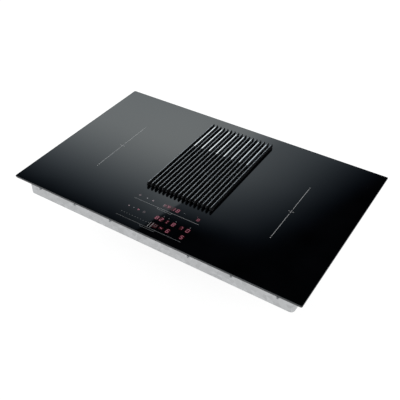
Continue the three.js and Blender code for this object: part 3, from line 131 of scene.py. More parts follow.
def crystals(made, per_metre):
    tree = made.node_tree
    texture = tree.nodes.new("ShaderNodeTexVoronoi")
    texture.inputs["Scale"].default_value = per_metre
    tree.links.new(stretched(made, (1, 1, 1)), texture.inputs["Vector"])
    grey = tree.nodes.new("ShaderNodeRGBToBW")
    tree.links.new(texture.outputs["Color"], grey.inputs["Color"])
    return grey.outputs["Val"]


def shade(made, pattern, dark, light, low=0.35, high=0.65):
    """Spreads the base colour between two colours by a pattern."""
    tree = made.node_tree
    ramp = tree.nodes.new("ShaderNodeValToRGB")
    ramp.color_ramp.elements[0].position = low
    ramp.color_ramp.elements[0].color = (*dark, 1)
    ramp.color_ramp.elements[1].position = high
    ramp.color_ramp.elements[1].color = (*light, 1)
    tree.links.new(pattern, ramp.inputs["Fac"])
    tree.links.new(ramp.outputs["Color"], tree.nodes["Principled BSDF"].inputs["Base Color"])


def gloss(made, pattern, low, high):
    """Spreads the roughness between two values by a pattern."""
    tree = made.node_tree
    spread = tree.nodes.new("ShaderNodeMapRange")
    for name, value in zip(("From Min", "From Max", "To Min", "To Max"), (*NOISE_SPAN, low, high)):
        spread.inputs[name].default_value = value
    tree.links.new(pattern, spread.inputs["Value"])
    tree.links.new(spread.outputs["Result"], tree.nodes["Principled BSDF"].inputs["Roughness"])


def relief(made, pattern, depth, strength=0.5):
    tree = made.node_tree
    bump = tree.nodes.new("ShaderNodeBump")
    bump.inputs["Distance"].default_value = depth
    bump.inputs["Strength"].default_value = strength
    tree.links.new(pattern, bump.inputs["Height"])
    tree.links.new(bump.outputs["Normal"], tree.nodes["Principled BSDF"].inputs["Normal"])


def ceramic_glass():
    made = material("black_ceramic_glass", (0.0008, 0.0009, 0.0012), 0.02, ior=1.52)
    haze = noise(made, 9, 2)
    shade(made, haze, (0.0005, 0.0006, 0.0008), (0.0011, 0.0013, 0.0018))
    gloss(made, noise(made, 14, 3), 0.012, 0.035)
    return made


def ground_glass():
    made = material("ground_glass_edge", (0.03, 0.033, 0.036), 0.22, ior=1.52)
    grain = noise(made, 2600, 2)
    shade(made, grain, (0.022, 0.024, 0.026), (0.05, 0.054, 0.058))
    gloss(made, noise(made, 900, 2), 0.16, 0.3)
    return made


def black_metal():
    made = material("black_anodised_bar", (0.008, 0.008, 0.0085), 0.3, ior=1.46)
    fine = noise(made, 700, 2, (1, 0.05, 1))
    shade(made, fine, (0.004, 0.0041, 0.0044), (0.012, 0.0122, 0.0128))
    gloss(made, noise(made, 500, 2, (1, 0.04, 1)), 0.30, 0.38)
    return made


def brushed_metal(name, dark, light, low, high, factors=(1, 0.03, 1), relief_depth=0.00001):
    made = material(name, light, low, metallic=1)
    lines = noise(made, 1800, 3, factors)
    shade(made, lines, dark, light)
    gloss(made, noise(made, 1200, 3, factors), low, high)
    if relief_depth:
        relief(made, lines, relief_depth, 0.25)
    return made


def zinc_sheet():
    made = material("galvanised_sheet", (0.55, 0.56, 0.57), 0.4, metallic=1)
    spangle = crystals(made, 95)
    shade(made, spangle, (0.42, 0.428, 0.436), (0.54, 0.548, 0.556), 0.2, 0.8)
    gloss(made, spangle, 0.34, 0.5)
    relief(made, noise(made, 1400, 2), 0.00002, 0.25)
    return made


def moulded(name, dark, light, low=0.42, high=0.6, grain=1600):
    made = material(name, dark, low)
    shade(made, noise(made, 22, 3), dark, light)
    gloss(made, noise(made, 60, 3), low, high)
    relief(made, noise(made, grain, 2), 0.00006, 0.35)
    return made


def litz():
    made = material("litz_copper", (0.72, 0.33, 0.18), 0.35, metallic=1)
    strands = noise(made, 1500, 2, (1, 1, 0.4))
    shade(made, strands, (0.42, 0.16, 0.08), (0.85, 0.43, 0.25))
    relief(made, strands, 0.0002, 0.7)
    return made


def lacquered_board():
    made = material("circuit_board", (0.01, 0.09, 0.045), 0.35)
    tree = made.node_tree
    tracks = tree.nodes.new("ShaderNodeTexBrick")
    for name, value in (("Scale", 120), ("Mortar Size", 0.06), ("Mortar", (0.03, 0.17, 0.08, 1)),
                        ("Color1", (0.008, 0.075, 0.035, 1)), ("Color2", (0.012, 0.10, 0.048, 1))):
        tracks.inputs[name].default_value = value
    tree.links.new(stretched(made, (1, 1, 1)), tracks.inputs["Vector"])
    tree.links.new(tracks.outputs["Color"], tree.nodes["Principled BSDF"].inputs["Base Color"])
    gloss(made, noise(made, 80, 2), 0.28, 0.45)
    return made


def printed(name, color):
    """Enamel print on the glass: a fine dot screen, as ceramic decor has."""
    made = material(name, color, 0.3)
    between, on_dot = (tuple(c * share for c in color) for share in (0.8, 1.15))
    shade(made, noise(made, 2500, 1), between, on_dot)
    return made


def lit(name, color, strength):
    """A display seen through the glass: black and glossy where it gives no light."""
    made = material(name, (0.02, 0.004, 0.005), 0.05, ior=1.52)
    shader = made.node_tree.nodes["Principled BSDF"]
    shader.inputs["Emission Color"].default_value = (*color, 1)
    shader.inputs["Emission Strength"].default_value = strength
    gloss(made, noise(made, 14, 3), 0.03, 0.06)
    return made


GLASS = ceramic_glass()
GLASS_EDGE = ground_glass()
BAR_BLACK = black_metal()
# The bar tops: satin, and a lighter grey than the black bars, which is a painted highlight for the
# light that the tops catch.
BAR_TOP_PAINTED_HIGHLIGHT = brushed_metal("bar_top_painted_highlight", (0.285, 0.29, 0.295), (0.36, 0.365, 0.37), 0.28, 0.36,
                        relief_depth=0)
STEEL_BRIGHT = brushed_metal("polished_steel", (0.54, 0.54, 0.54), (0.60, 0.60, 0.60), 0.05, 0.11,
                             relief_depth=0)
STEEL_SATIN = brushed_metal("satin_steel", (0.34, 0.345, 0.35), (0.44, 0.445, 0.45), 0.5, 0.6,
                            relief_depth=0)
STEEL = brushed_metal("stainless_steel", (0.36, 0.365, 0.37), (0.50, 0.505, 0.51), 0.24, 0.38)
BLACKENED = brushed_metal("blackened_steel", (0.05, 0.051, 0.053), (0.10, 0.102, 0.105), 0.35, 0.5)
SPRING = brushed_metal("spring_steel", (0.36, 0.37, 0.38), (0.50, 0.51, 0.52), 0.28, 0.42,
                       (1, 1, 0.03))
ALUMINIUM = brushed_metal("aluminium_sheet", (0.62, 0.63, 0.64), (0.74, 0.75, 0.76), 0.3, 0.42)
LAMINATION = brushed_metal("motor_laminations", (0.16, 0.165, 0.17), (0.28, 0.285, 0.29),
                           0.35, 0.5, (0.05, 0.05, 1))
ZINC = zinc_sheet()
COPPER = litz()
BOARD = lacquered_board()
BLACK_PLASTIC = moulded("black_plastic", (0.012, 0.0125, 0.013), (0.020, 0.0205, 0.021))
GREY_PLASTIC = moulded("grey_plastic", (0.055, 0.058, 0.062), (0.075, 0.079, 0.084))
WHITE_PLASTIC = moulded("white_plastic", (0.60, 0.60, 0.57), (0.70, 0.70, 0.67), 0.35, 0.5)
FOAM = moulded("seal_foam", (0.006, 0.006, 0.006), (0.016, 0.016, 0.017), 0.8, 0.95, 4000)
FILM_CAPACITOR = moulded("film_capacitor", (0.40, 0.27, 0.05), (0.47, 0.32, 0.07), 0.3, 0.42)
SILICONE = moulded("silicone", (0.012, 0.012, 0.013), (0.022, 0.022, 0.023), 0.6, 0.8, 3000)
PRINT_GREY = printed("print_grey", (0.30, 0.305, 0.31))
PRINT_DIM = printed("print_dim", (0.16, 0.165, 0.17))
PRINT_FAINT = printed("print_faint", (0.075, 0.077, 0.08))
LED_RED = lit("display_red", (1.0, 0.36, 0.50), 0.345)
LED_SOFT = lit("display_soft", (1.0, 0.80, 0.87), 0.25)
LED_BLEED = lit("display_bleed", (1.0, 0.14, 0.24), 0.012)
LED_WHITE = lit("display_white", (0.9, 0.93, 1.0), 0.32)

# ---------------------------------------------------------------- mesh helpers

WELD = 2e-6  # points closer than this are one
FLAT = math.radians(0.4)  # faces that turn less than this are one
SHARP = math.radians(30)  # edges that turn more than this are rounded


def piece(name, mesh, body, *materials, slot=None, replaces=()):
    """A finished object from a bmesh, riding on a body."""
    data = bpy.data.meshes.new(name)
    mesh.to_mesh(data)
    mesh.free()
    made = bpy.data.objects.new(name, data)
    bpy.context.scene.collection.objects.link(made)
    for each in materials:
        data.materials.append(each)
    even = made.modifiers.new("even_normals", "WEIGHTED_NORMAL")
    even.keep_sharp = True
    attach(made, body)
    if replaces:
        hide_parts(*replaces)
    return made


def smooth_by_angle(mesh, degrees=35):
    """Smooth faces, with the edges sharper than the angle kept sharp."""
    limit = math.radians(degrees)
    for face in mesh.faces:
        face.smooth = True
    for edge in mesh.edges:
        edge.smooth = edge.is_manifold and edge.calc_face_angle(0.0) < limit


def settle_faces(mesh, degrees=35):
    """Turns the faces of closed forms outwards, then smooths them by angle."""
    bmesh.ops.recalc_face_normals(mesh, faces=mesh.faces)
    smooth_by_angle(mesh, degrees)


def body_of_node(node):
    return next(b for b, empty in frame["bodies"].items() if nodes[node].parent is empty)


def split_large_faces(mesh):
    """Triangulates the faces with more than four corners."""
    bmesh.ops.triangulate(mesh, faces=[f for f in mesh.faces if len(f.verts) > 4])


def round_edges(mesh, edges, radius):
    bmesh.ops.bevel(mesh, geom=edges, offset=radius, segments=2, profile=0.5,
                    affect="EDGES", clamp_overlap=True, material=-1)


def refined(node, finish, slot, radius):
    """A CAD node's shape with its flat faces whole and its sharp edges rounded, standing for it."""
    mesh = bmesh.new()
    mesh.from_mesh(nodes[node].data)
    bmesh.ops.remove_doubles(mesh, verts=mesh.verts, dist=WELD)
    bmesh.ops.dissolve_limit(mesh, angle_limit=FLAT, verts=mesh.verts, edges=mesh.edges)
    sharp = [e for e in mesh.edges if e.is_manifold and e.calc_face_angle(0.0) > SHARP]
    round_edges(mesh, sharp, radius)
    split_large_faces(mesh)
    smooth_by_angle(mesh)
    return piece(f"{node}_finished", mesh, body_of_node(node), finish, slot=slot, replaces=[node])


def rounded_loop(width, depth, radius, centre=(0.0, 0.0), steps=6):
    """The corners of a rounded rectangle, anticlockwise from its lower right."""
    loop = []
    for quarter, (sx, sy) in enumerate([(1, -1), (1, 1), (-1, 1), (-1, -1)]):
        cx = centre[0] + sx * (width / 2 - radius)
        cy = centre[1] + sy * (depth / 2 - radius)
        for i in range(steps + 1):
            turn = math.radians(-90 + 90 * (quarter + i / steps))
            loop.append((cx + radius * math.cos(turn), cy + radius * math.sin(turn)))
    return loop


def quarter_round(radius, steps):
    """How far in and how far down a rounded edge goes, from the side up to the top."""
    turns = [math.pi / 2 * i / steps for i in range(steps + 1)]
    return [(radius * (1 - math.cos(turn)), radius * (1 - math.sin(turn))) for turn in turns]


def bridged(mesh, loops, closed=False, mark=None):
    """Joins successive loops of points with quads. mark(i) gives the material of band i."""
    rings = [[mesh.verts.new(p) for p in loop] for loop in loops]
    count = len(rings[0])
    pairs = list(zip(rings, rings[1:]))
    if closed:
        pairs.append((rings[-1], rings[0]))
    for band, (a, b) in enumerate(pairs):
        for i in range(count):
            j = (i + 1) % count
            face = mesh.faces.new((a[i], a[j], b[j], b[i]))
            face.material_index = mark(band) if mark else 0
    return rings


def add_box(mesh, lo, hi, radius):
    """A block with rounded edges."""
    lo, hi = Vector(lo), Vector(hi)
    made = bmesh.ops.create_cube(mesh, size=1.0)["verts"]
    bmesh.ops.scale(mesh, vec=hi - lo, verts=made)
    bmesh.ops.translate(mesh, vec=(lo + hi) / 2, verts=made)
    round_edges(mesh, list({e for v in made for e in v.link_edges}), radius)


def add_prism(mesh, outline, z0, z1):
    """A convex outline of (x, y) points raised from one level to another."""
    low, high = bridged(mesh, [[(x, y, z) for x, y in outline] for z in (z0, z1)])
    mesh.faces.new(high)
    mesh.faces.new(list(reversed(low)))


def add_turned(mesh, profile, centre=(0, 0, 0), segments=32):
    """A profile of (radius, height) points turned round an upright axis through the centre."""
    turned = []
    for step in range(segments):
        angle = 2 * math.pi * step / segments
        turned.append([
            mesh.verts.new((centre[0] + radius * math.cos(angle),
                            centre[1] + radius * math.sin(angle), centre[2] + height))
            for radius, height in profile])
    for step in range(segments):
        a, b = turned[step], turned[(step + 1) % segments]
        for i in range(len(profile) - 1):
            mesh.faces.new((a[i], b[i], b[i + 1], a[i + 1]))
    bmesh.ops.remove_doubles(mesh, verts=[v for ring in turned for v in ring], dist=1e-7)


# ---------------------------------------------------------------- glass

glass_lo, glass_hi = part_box("glass_top")
TOP = glass_hi.z
GLASS_WIDTH = glass_hi.x - glass_lo.x
GLASS_DEPTH = glass_hi.y - glass_lo.y
OPENING = (176 * MM, 306 * MM)
SUCTION = (0.0, 54.3 * MM)  # the middle of the air opening, and the axis of the blower
CORNER = 3 * MM
OPENING_CORNER = 8 * MM
EDGE = 0.9 * MM  # radius of the ground edge


def glass_sheet():
    """The glass with its ground edges: out round its rim, then back round the air opening."""
    mesh = bmesh.new()
    upper = [(inset, TOP - drop) for inset, drop in quarter_round(EDGE, 4)]
    section = [(inset, glass_lo.z + TOP - z) for inset, z in reversed(upper)] + upper

    def outer(inset, z):
        loop = rounded_loop(GLASS_WIDTH - 2 * inset, GLASS_DEPTH - 2 * inset, CORNER)
        return [(x, y, z) for x, y in loop]

    def inner(inset, z):
        loop = rounded_loop(OPENING[0] + 2 * inset, OPENING[1] + 2 * inset,
                            OPENING_CORNER + inset, SUCTION)
        return [(x, y, z) for x, y in loop]

    loops = [outer(*p) for p in section] + [inner(*p) for p in reversed(section)]
    flat = {len(section) - 1, 2 * len(section) - 1}
    bridged(mesh, loops, closed=True, mark=lambda band: 0 if band in flat else 1)
    settle_faces(mesh, 50)
    return piece("black_glass_sheet", mesh, "cooktop_body", GLASS, GLASS_EDGE,
                 slot="black_glass", replaces=["glass_top"])


glass_sheet()
refined("glass_seal", FOAM, "seal_foam", 0.3 * MM)

# ---------------------------------------------------------------- prints and displays

PRINT_LOW = TOP - 0.02 * MM
PRINT_HIGH = TOP + 0.03 * MM


def add_line(mesh, x0, y0, x1, y1, width):
    """A printed line between two points, in millimetres from the glass centre."""
    a, b = Vector((x0, y0)) * MM, Vector((x1, y1)) * MM
    side = (b - a).normalized().orthogonal() * width * MM / 2
    corners = [a - side, b - side, b + side, a + side]
    area = sum(p.x * q.y - q.x * p.y for p, q in zip(corners, corners[1:] + corners[:1]))
    if area < 0:
        corners.reverse()
    add_prism(mesh, [tuple(c) for c in corners], PRINT_LOW, PRINT_HIGH)


def add_dot(mesh, x, y, radius, sides=16):
    outline = [((x + radius * math.cos(t)) * MM, (y + radius * math.sin(t)) * MM)
               for t in (2 * math.pi * i / sides for i in range(sides))]
    add_prism(mesh, outline, PRINT_LOW, PRINT_HIGH)


def zone_marks():
    """For each side, a line from front to back with a dot at both ends and a cross half way."""
    axis, dot_place, dot_radius, width = 261, 109, 1.3, 1.2
    line_end, line_start, cross_half, arm_start, arm_end = 104.5, 10, 6.5, 2.2, 7.5
    for side, hand in ((-1, "left"), (1, "right")):
        mesh = bmesh.new()
        x = side * axis
        for end in (-1, 1):
            add_dot(mesh, x, end * dot_place, dot_radius)
            add_line(mesh, x, end * line_end, x, end * line_start, width)
        add_line(mesh, x, -cross_half, x, cross_half, width)
        for end in (-1, 1):
            add_line(mesh, x + end * arm_start, 0, x + end * arm_end, 0, width)
        piece(f"zone_mark_{hand}", mesh, "cooktop_body", PRINT_GREY)


SEGMENTS = {"0": "abcdef", "1": "bc", "2": "abged", "5": "afgcd", "6": "afgedc", "7": "abc",
            "8": "abcdefg"}


def add_digit(mesh, x, y, text, height, width):
    """One figure of a seven-segment display, centred on a point."""
    w, h, bar = width / 2, height / 2, height * 0.115
    strokes = {
        "a": ((-w, h), (w, h)), "g": ((-w, 0), (w, 0)), "d": ((-w, -h), (w, -h)),
        "b": ((w, h), (w, 0)), "c": ((w, 0), (w, -h)),
        "f": ((-w, h), (-w, 0)), "e": ((-w, 0), (-w, -h)),
    }
    slant, gap, point = 0.09, bar * 0.3, bar * 0.45
    for letter in SEGMENTS[text]:
        a, b = (Vector((px + py * slant, py)) for px, py in strokes[letter])
        along = (b - a).normalized()
        side = Vector((-along.y, along.x)) * bar / 2
        a, b, tip = a + along * gap, b - along * gap, along * point
        outline = [a, a + tip - side, b - tip - side, b, b - tip + side, a + tip + side]
        add_prism(mesh, [((x + p.x) * MM, (y + p.y) * MM) for p in outline], PRINT_LOW, PRINT_HIGH)


def add_window(mesh, x, y, width, height):
    """A patch of glass with rounded corners that a display tints from below."""
    outline = rounded_loop(width * MM, height * MM, 2 * MM, (x * MM, y * MM), 3)
    add_prism(mesh, outline, PRINT_LOW, TOP + 0.01 * MM)


def add_ring(mesh, x, y, radius, width, sides=20, start=0.0, turn=360.0):
    """A round line, whole or part of a turn."""
    steps = max(3, round(sides * turn / 360))
    points = [math.radians(start + turn * i / steps) for i in range(steps + 1)]
    for a, b in zip(points, points[1:]):
        outline = [((x + r * math.cos(t)) * MM, (y + r * math.sin(t)) * MM)
                   for r, t in ((radius - width / 2, a), (radius + width / 2, a),
                                (radius + width / 2, b), (radius - width / 2, b))]
        add_prism(mesh, outline, PRINT_LOW, PRINT_HIGH)


def add_power_sign(mesh, x, y, radius):
    add_ring(mesh, x, y, radius, 0.9, 20, 125, 290)
    add_line(mesh, x, y + 1, x, y + radius + 1.4, 0.9)


def add_padlock(mesh, x, y):
    add_line(mesh, x - 2.0, y - 1.0, x + 2.0, y - 1.0, 2.6)
    add_ring(mesh, x, y + 0.6, 1.4, 0.7, 16, 0, 180)


def add_fan_sign(mesh, x, y, radius):
    """Three blades, each half a turn of a line, round a hub."""
    for start in (0, 120, 240):
        t = math.radians(start)
        add_ring(mesh, x + radius / 2 * math.cos(t), y + radius / 2 * math.sin(t), radius / 2,
                 1.0, 16, start, 180)
    add_dot(mesh, x, y, 0.9, 10)


def touch_panel():
    """The signs and figures in front of the grille, by the rows in which they stand."""
    red, soft, white = bmesh.new(), bmesh.new(), bmesh.new()
    bleed, dim, faint, grey = bmesh.new(), bmesh.new(), bmesh.new(), bmesh.new()

    def digits(y, *figures, height=10.5, width=6.0):
        """Red figures, each on a window that the light behind it just tints."""
        for x, text in figures:
            add_digit(red, x, y, text, height, width)
            add_window(bleed, x, y, width + 5, height + 4)

    upper = -148
    add_power_sign(soft, -89, upper, 2.0)
    add_dot(white, -66, upper, 1.5)
    add_padlock(soft, -48, upper)
    add_line(soft, -15, upper - 5, -15, upper + 5, 1.0)
    add_line(red, -12.5, upper - 3, -10, upper + 3, 0.9)
    add_window(bleed, -11.5, upper, 6, 12)
    add_fan_sign(red, -1, upper + 1, 3.8)
    add_window(bleed, -1, upper + 1, 14, 14)
    digits(upper, (13, "1"), (26, "8"))
    digits(upper - 1, (86, "0"), height=7.0, width=4.4)
    add_line(dim, 43, upper + 1, 49, upper + 1, 0.8)
    add_dot(red, 79, upper + 7, 0.6, 10)

    middle = -195
    add_dot(soft, -88, middle, 1.7)
    add_dot(white, -73, middle, 1.05)
    add_fan_sign(red, -59, middle, 2.9)
    add_ring(soft, -42, middle, 2.6, 0.5)
    digits(middle, (-3, "8"), (10, "2"), (45, "8"), (86, "0"))
    digits(middle, (68, "7"), height=8.5, width=4.8)
    for y in (middle - 3, middle + 3):
        add_dot(red, 27, y, 1.2, 10)
    add_window(bleed, 27, middle, 7, 13)
    for x in (10, 24, 45, 86):
        add_dot(dim, x, middle + 12, 1.1, 10)

    lower = -221
    for i in range(11):
        add_dot(faint, -91 + 8.2 * i, lower, 1.25, 12)
    for x in (-5, 2):
        add_line(grey, x, lower - 13, x, lower + 6, 1.0)
    add_ring(faint, 11, lower, 3.6, 0.9)
    add_window(bleed, 8, lower - 1, 18, 13)
    add_line(red, 24, lower + 1, 30, lower - 1, 1.5)
    add_window(bleed, 27, lower, 11, 9)
    digits(lower, (46, "6"), (86, "5"))

    # framing lines, each with a shallow tab below its middle
    for mesh, y, right in ((dim, -163, 96), (faint, -236, 93)):
        add_line(mesh, -96, y, right, y, 1.1)
        add_line(mesh, -24, y, -22, y - 5, 1.0)
        add_line(mesh, -22, y - 5, 18, y - 5, 1.0)
        add_line(mesh, 18, y - 5, 20, y, 1.0)

    for name, mesh, finish in (
            ("touch_figures_red", red, LED_RED), ("touch_signs_soft", soft, LED_SOFT),
            ("touch_signs_white", white, LED_WHITE), ("touch_figure_bleed", bleed, LED_BLEED),
            ("touch_frame_print", dim, PRINT_DIM), ("touch_slider_print", faint, PRINT_FAINT),
            ("touch_key_print", grey, PRINT_GREY)):
        piece(name, mesh, "cooktop_body", finish)


zone_marks()
touch_panel()

# ---------------------------------------------------------------- grille

grille_lo, grille_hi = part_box("grille")
BAR_COUNT = 17
PITCH = 11.8 * MM
BAR_BOTTOM = TOP + 2 * MM
BAR_BASE = 2.2 * MM  # half the width of a bar at its foot
BAR_CROWN = 1.55 * MM  # half its width at the top
BAR_EDGE = 0.6 * MM  # radius along its top
NOSE = 3.6 * MM  # radius of its ends
# where the flat top, which carries the painted highlight, starts past each rounded end
FLAT_TOP_FROM_END = 6.2 * MM
CAP_DEPTH = 1.1 * MM  # how far a bar is cut down under its steel cap
CAP_GAP = 0.3 * MM
RIB_SPAN = 302 * MM  # from the first cross rib to the last
RIB_COUNT = 4
RIB_SIZE = 2 * MM  # its height, and half its width
LUG_X = (82.6 * MM, 86.5 * MM)  # both from the middle of the air opening
LUG_Y = (123 * MM, 137 * MM)
inlay_lo, inlay_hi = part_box("grille_inlay_1")


def bar_ring(x, y, top, squeeze):
    """One section of a bar at a place along it: its right half from the foot up, then its left."""
    base, crown, edge = BAR_BASE * squeeze, BAR_CROWN * squeeze, BAR_EDGE * squeeze
    height = max(top - BAR_BOTTOM, 1.2 * MM)
    half = [(base - 0.3 * MM, 0), (base, 0.3 * MM),
            (crown + (base - crown) * 0.1, height - 2 * edge), (crown, height - edge),
            (crown - edge * 0.3, height - edge * 0.3), (crown - edge, height - 0.06 * MM),
            (crown * 0.3, height)]
    left = [(-px, pz) for px, pz in reversed(half)]
    return [(x + px, y, BAR_BOTTOM + pz) for px, pz in half + left]


def grille_bars():
    """All the bars with rounded ends, on cross ribs, and the lugs that hold them in the opening."""
    mesh = bmesh.new()
    front, rear, top = grille_lo.y, grille_hi.y, grille_hi.z
    ends = [(along, top - drop, 1 - 0.28 * drop / NOSE) for along, drop in quarter_round(NOSE, 6)]
    half_span = (BAR_COUNT - 1) / 2 * PITCH
    for i in range(BAR_COUNT):
        stations = [(front + along, z, squeeze) for along, z, squeeze in ends]
        stations.append((front + FLAT_TOP_FROM_END, top, 1.0))
        if i % 2 == 1:  # the steel cap sits in a stretch that is cut down
            y0, y1 = inlay_lo.y - CAP_GAP, inlay_hi.y + CAP_GAP
            low, slim = top - CAP_DEPTH, 0.5
            stations += [(y0, top, 1.0), (y0, low, slim), (y1, low, slim), (y1, top, 1.0)]
        stations.append((rear - FLAT_TOP_FROM_END, top, 1.0))
        stations += [(rear - along, z, squeeze) for along, z, squeeze in reversed(ends)]
        rings = bridged(mesh, [bar_ring(i * PITCH - half_span, *station) for station in stations])
        mesh.faces.new(rings[0])
        mesh.faces.new(list(reversed(rings[-1])))
    for rib in range(RIB_COUNT):
        y = SUCTION[1] + (rib / (RIB_COUNT - 1) - 0.5) * RIB_SPAN
        add_box(mesh, (-half_span, y - RIB_SIZE, BAR_BOTTOM + 0.05 * MM),
                (half_span, y + RIB_SIZE, BAR_BOTTOM + RIB_SIZE), 0.3 * MM)
    for side_x in (-1, 1):
        for side_y in (-1, 1):
            x0, x1 = sorted(side_x * x for x in LUG_X)
            y0, y1 = sorted(SUCTION[1] + side_y * y for y in LUG_Y)
            add_box(mesh, (x0, y0, grille_lo.z), (x1, y1, BAR_BOTTOM + RIB_SIZE), 0.4 * MM)
    bmesh.ops.recalc_face_normals(mesh, faces=mesh.faces)
    for face in mesh.faces:  # the tops are satin and painted a lighter grey, a painted highlight for the light they catch, clear of the rounded ends
        middle = face.calc_center_median()
        clear = front + FLAT_TOP_FROM_END < middle.y < rear - FLAT_TOP_FROM_END
        if clear and face.normal.z > 0.97 and middle.z > top - 0.5 * MM:
            face.material_index = 1
    smooth_by_angle(mesh, 40)
    return piece("grille_bars", mesh, "air_grille", BAR_BLACK, BAR_TOP_PAINTED_HIGHLIGHT, slot="black_enamel",
                 replaces=["grille"])


grille_bars()


def grille_inlay(number):
    """A steel cap folded over the bar, with a full round on both shoulders."""
    lo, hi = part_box(f"grille_inlay_{number}")
    x, half, wall, shoulder = (lo.x + hi.x) / 2, (hi.x - lo.x) / 2, 0.7 * MM, 1.15 * MM
    outside = [(half, lo.z)]
    outside += [(half - inset, hi.z - drop) for inset, drop in quarter_round(shoulder, 6)]
    inside = [(half - wall, lo.z), (half - wall, hi.z - 2 * wall), (half - 2 * wall, hi.z - wall)]
    section = outside + [(-px, pz) for px, pz in reversed(outside)]
    section += [(-px, pz) for px, pz in inside] + list(reversed(inside))
    mesh = bmesh.new()
    rings = bridged(mesh, [[(x + px, y, pz) for px, pz in section] for y in (lo.y, hi.y)])
    for ends in rings:
        mesh.faces.new(ends)
    bmesh.ops.recalc_face_normals(mesh, faces=mesh.faces)
    split_large_faces(mesh)
    for face in mesh.faces:  # the folded sides are satin
        if face.normal.z < 0.88:
            face.material_index = 1
    smooth_by_angle(mesh, 40)
    piece(f"steel_inlay_{number}", mesh, "air_grille", STEEL_BRIGHT, STEEL_SATIN,
          slot="polished_steel", replaces=[f"grille_inlay_{number}"])


for number in range(1, 9):
    grille_inlay(number)
for number in range(1, 5):
    refined(f"grille_foot_{number}", SILICONE, "silicone", 0.4 * MM)

# ---------------------------------------------------------------- the pieces below the glass

HANDS = ("left", "right")
BELOW = [  # node, material, slot, and the radius of its edges in millimetres
    ("casing_tray", ZINC, "galvanised_sheet", 0.25),
    ("cable_gland", BLACK_PLASTIC, "black_plastic", 0.5),
    ("terminal_block", WHITE_PLASTIC, "white_plastic", 0.4),
    *[(f"fixing_spring_{i}", SPRING, "spring_steel", 0.3) for i in (1, 2, 3, 4)],
    *[(f"coil_plate_{s}", ALUMINIUM, "aluminium_sheet", 0.3) for s in HANDS],
    *[(f"power_board_{s}", BOARD, "circuit_board", 0.2) for s in HANDS],
    *[(f"heat_sink_{s}", ALUMINIUM, "aluminium_sheet", 0.3) for s in HANDS],
    *[(f"fan_housing_{s}", BLACK_PLASTIC, "black_plastic", 0.4) for s in HANDS],
    *[(f"fan_rotor_{s}", GREY_PLASTIC, "grey_plastic", 0.3) for s in HANDS],
    ("touch_board_carrier", GREY_PLASTIC, "grey_plastic", 0.4),
    ("touch_board", BOARD, "circuit_board", 0.2),
    ("filter_well", BLACK_PLASTIC, "black_plastic", 0.6),
    ("filter_frame", STEEL, "stainless_steel", 0.3),
    ("filter_handle", STEEL, "stainless_steel", 0.5),
    ("plenum", GREY_PLASTIC, "grey_plastic", 0.6),
    ("overflow_tray", BLACK_PLASTIC, "black_plastic", 0.5),
    ("inlet_nozzle", BLACK_PLASTIC, "black_plastic", 0.3),
    ("scroll_lower", BLACK_PLASTIC, "black_plastic", 0.6),
    ("scroll_upper", BLACK_PLASTIC, "black_plastic", 0.6),
    *[(f"scroll_screw_{i}", STEEL, "stainless_steel", 0.3) for i in (1, 2, 3, 4)],
    ("impeller", BLACK_PLASTIC, "black_plastic", 0.25),
    ("motor_shaft", STEEL_BRIGHT, "polished_steel", 0.4),
    ("motor_stator", LAMINATION, "motor_steel", 0.4),
    ("motor_bearing_lower", STEEL_BRIGHT, "polished_steel", 0.4),
    ("motor_bearing_upper", STEEL_BRIGHT, "polished_steel", 0.4),
    ("outlet_spigot", GREY_PLASTIC, "grey_plastic", 0.6),
    ("flap_leaf_upper", WHITE_PLASTIC, "white_plastic", 0.3),
    ("flap_leaf_lower", WHITE_PLASTIC, "white_plastic", 0.3),
]
finished = {node: refined(node, finish, slot, radius * MM) for node, finish, slot, radius in BELOW}

# ---------------------------------------------------------------- details below the glass


def add_placed(mesh, part, place, turn):
    """Adds a small bmesh to a larger one, turned and moved."""
    part.transform(Matrix.Translation(place) @ turn.to_4x4())
    data = bpy.data.meshes.new("part")
    part.to_mesh(data)
    part.free()
    mesh.from_mesh(data)
    bpy.data.meshes.remove(data)


SCREW_PROFILE = [(0, 0.25), (0.36, 0.25), (0.42, 0.56), (0.72, 0.5), (0.93, 0.3), (1, 0.08),
                 (1, -0.06), (0, -0.06)]  # (radius, height), for a radius of one


def add_screw(mesh, place, axis, radius=3.4 * MM):
    """A pan head with a socket, sunk a little into the face that it stands on."""
    head = bmesh.new()
    add_turned(head, [(r * radius, z * radius) for r, z in SCREW_PROFILE], segments=14)
    turn = Vector((0, 0, 1)).rotation_difference(Vector(axis)).to_matrix()
    add_placed(mesh, head, Vector(place), turn)


def mark_faces(made, finish, lo, hi):
    """Gives the faces whose middle lies in a box another material."""
    data = made.data
    if finish.name not in data.materials:
        data.materials.append(finish)
    index = data.materials.find(finish.name)
    for face in data.polygons:
        if all(a <= c <= b for a, c, b in zip(lo, face.center, hi)):
            face.material_index = index


def electrical_faces():
    """Capacitors, chokes, relays, display windows and terminal screws in their own materials."""
    finishes = {"capacitor": FILM_CAPACITOR, "choke": COPPER, "relay": WHITE_PLASTIC}
    strips = ((-66 * MM, ("capacitor", "choke", "capacitor", "relay")),
              (66 * MM, ("relay", "capacitor", "choke", "capacitor")))
    reach, row_pitch, board_height, spare = 17 * MM, 55 * MM, 1.7 * MM, 1 * MM
    for side in HANDS:
        lo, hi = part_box(f"power_board_{side}")
        for strip, kinds in strips:
            for row, kind in enumerate(kinds):
                x = (lo.x + hi.x) / 2 + strip
                y = (lo.y + hi.y) / 2 + (row - 1.5) * row_pitch
                mark_faces(finished[f"power_board_{side}"], finishes[kind],
                           (x - reach, y - reach, lo.z + board_height),
                           (x + reach, y + reach, hi.z + spare))
    lo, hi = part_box("touch_board")
    mark_faces(finished["touch_board"], BLACK_PLASTIC, (lo.x, lo.y, lo.z + 1.8 * MM),
               (hi.x, hi.y, hi.z + spare))
    lo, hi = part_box("terminal_block")
    x, clamp = lo.x + (hi.x - lo.x) / 4, 2.4 * MM
    mark_faces(finished["terminal_block"], STEEL, (x - clamp, lo.y, lo.z + 11.2 * MM),
               (x + clamp, hi.y, lo.z + 16 * MM))


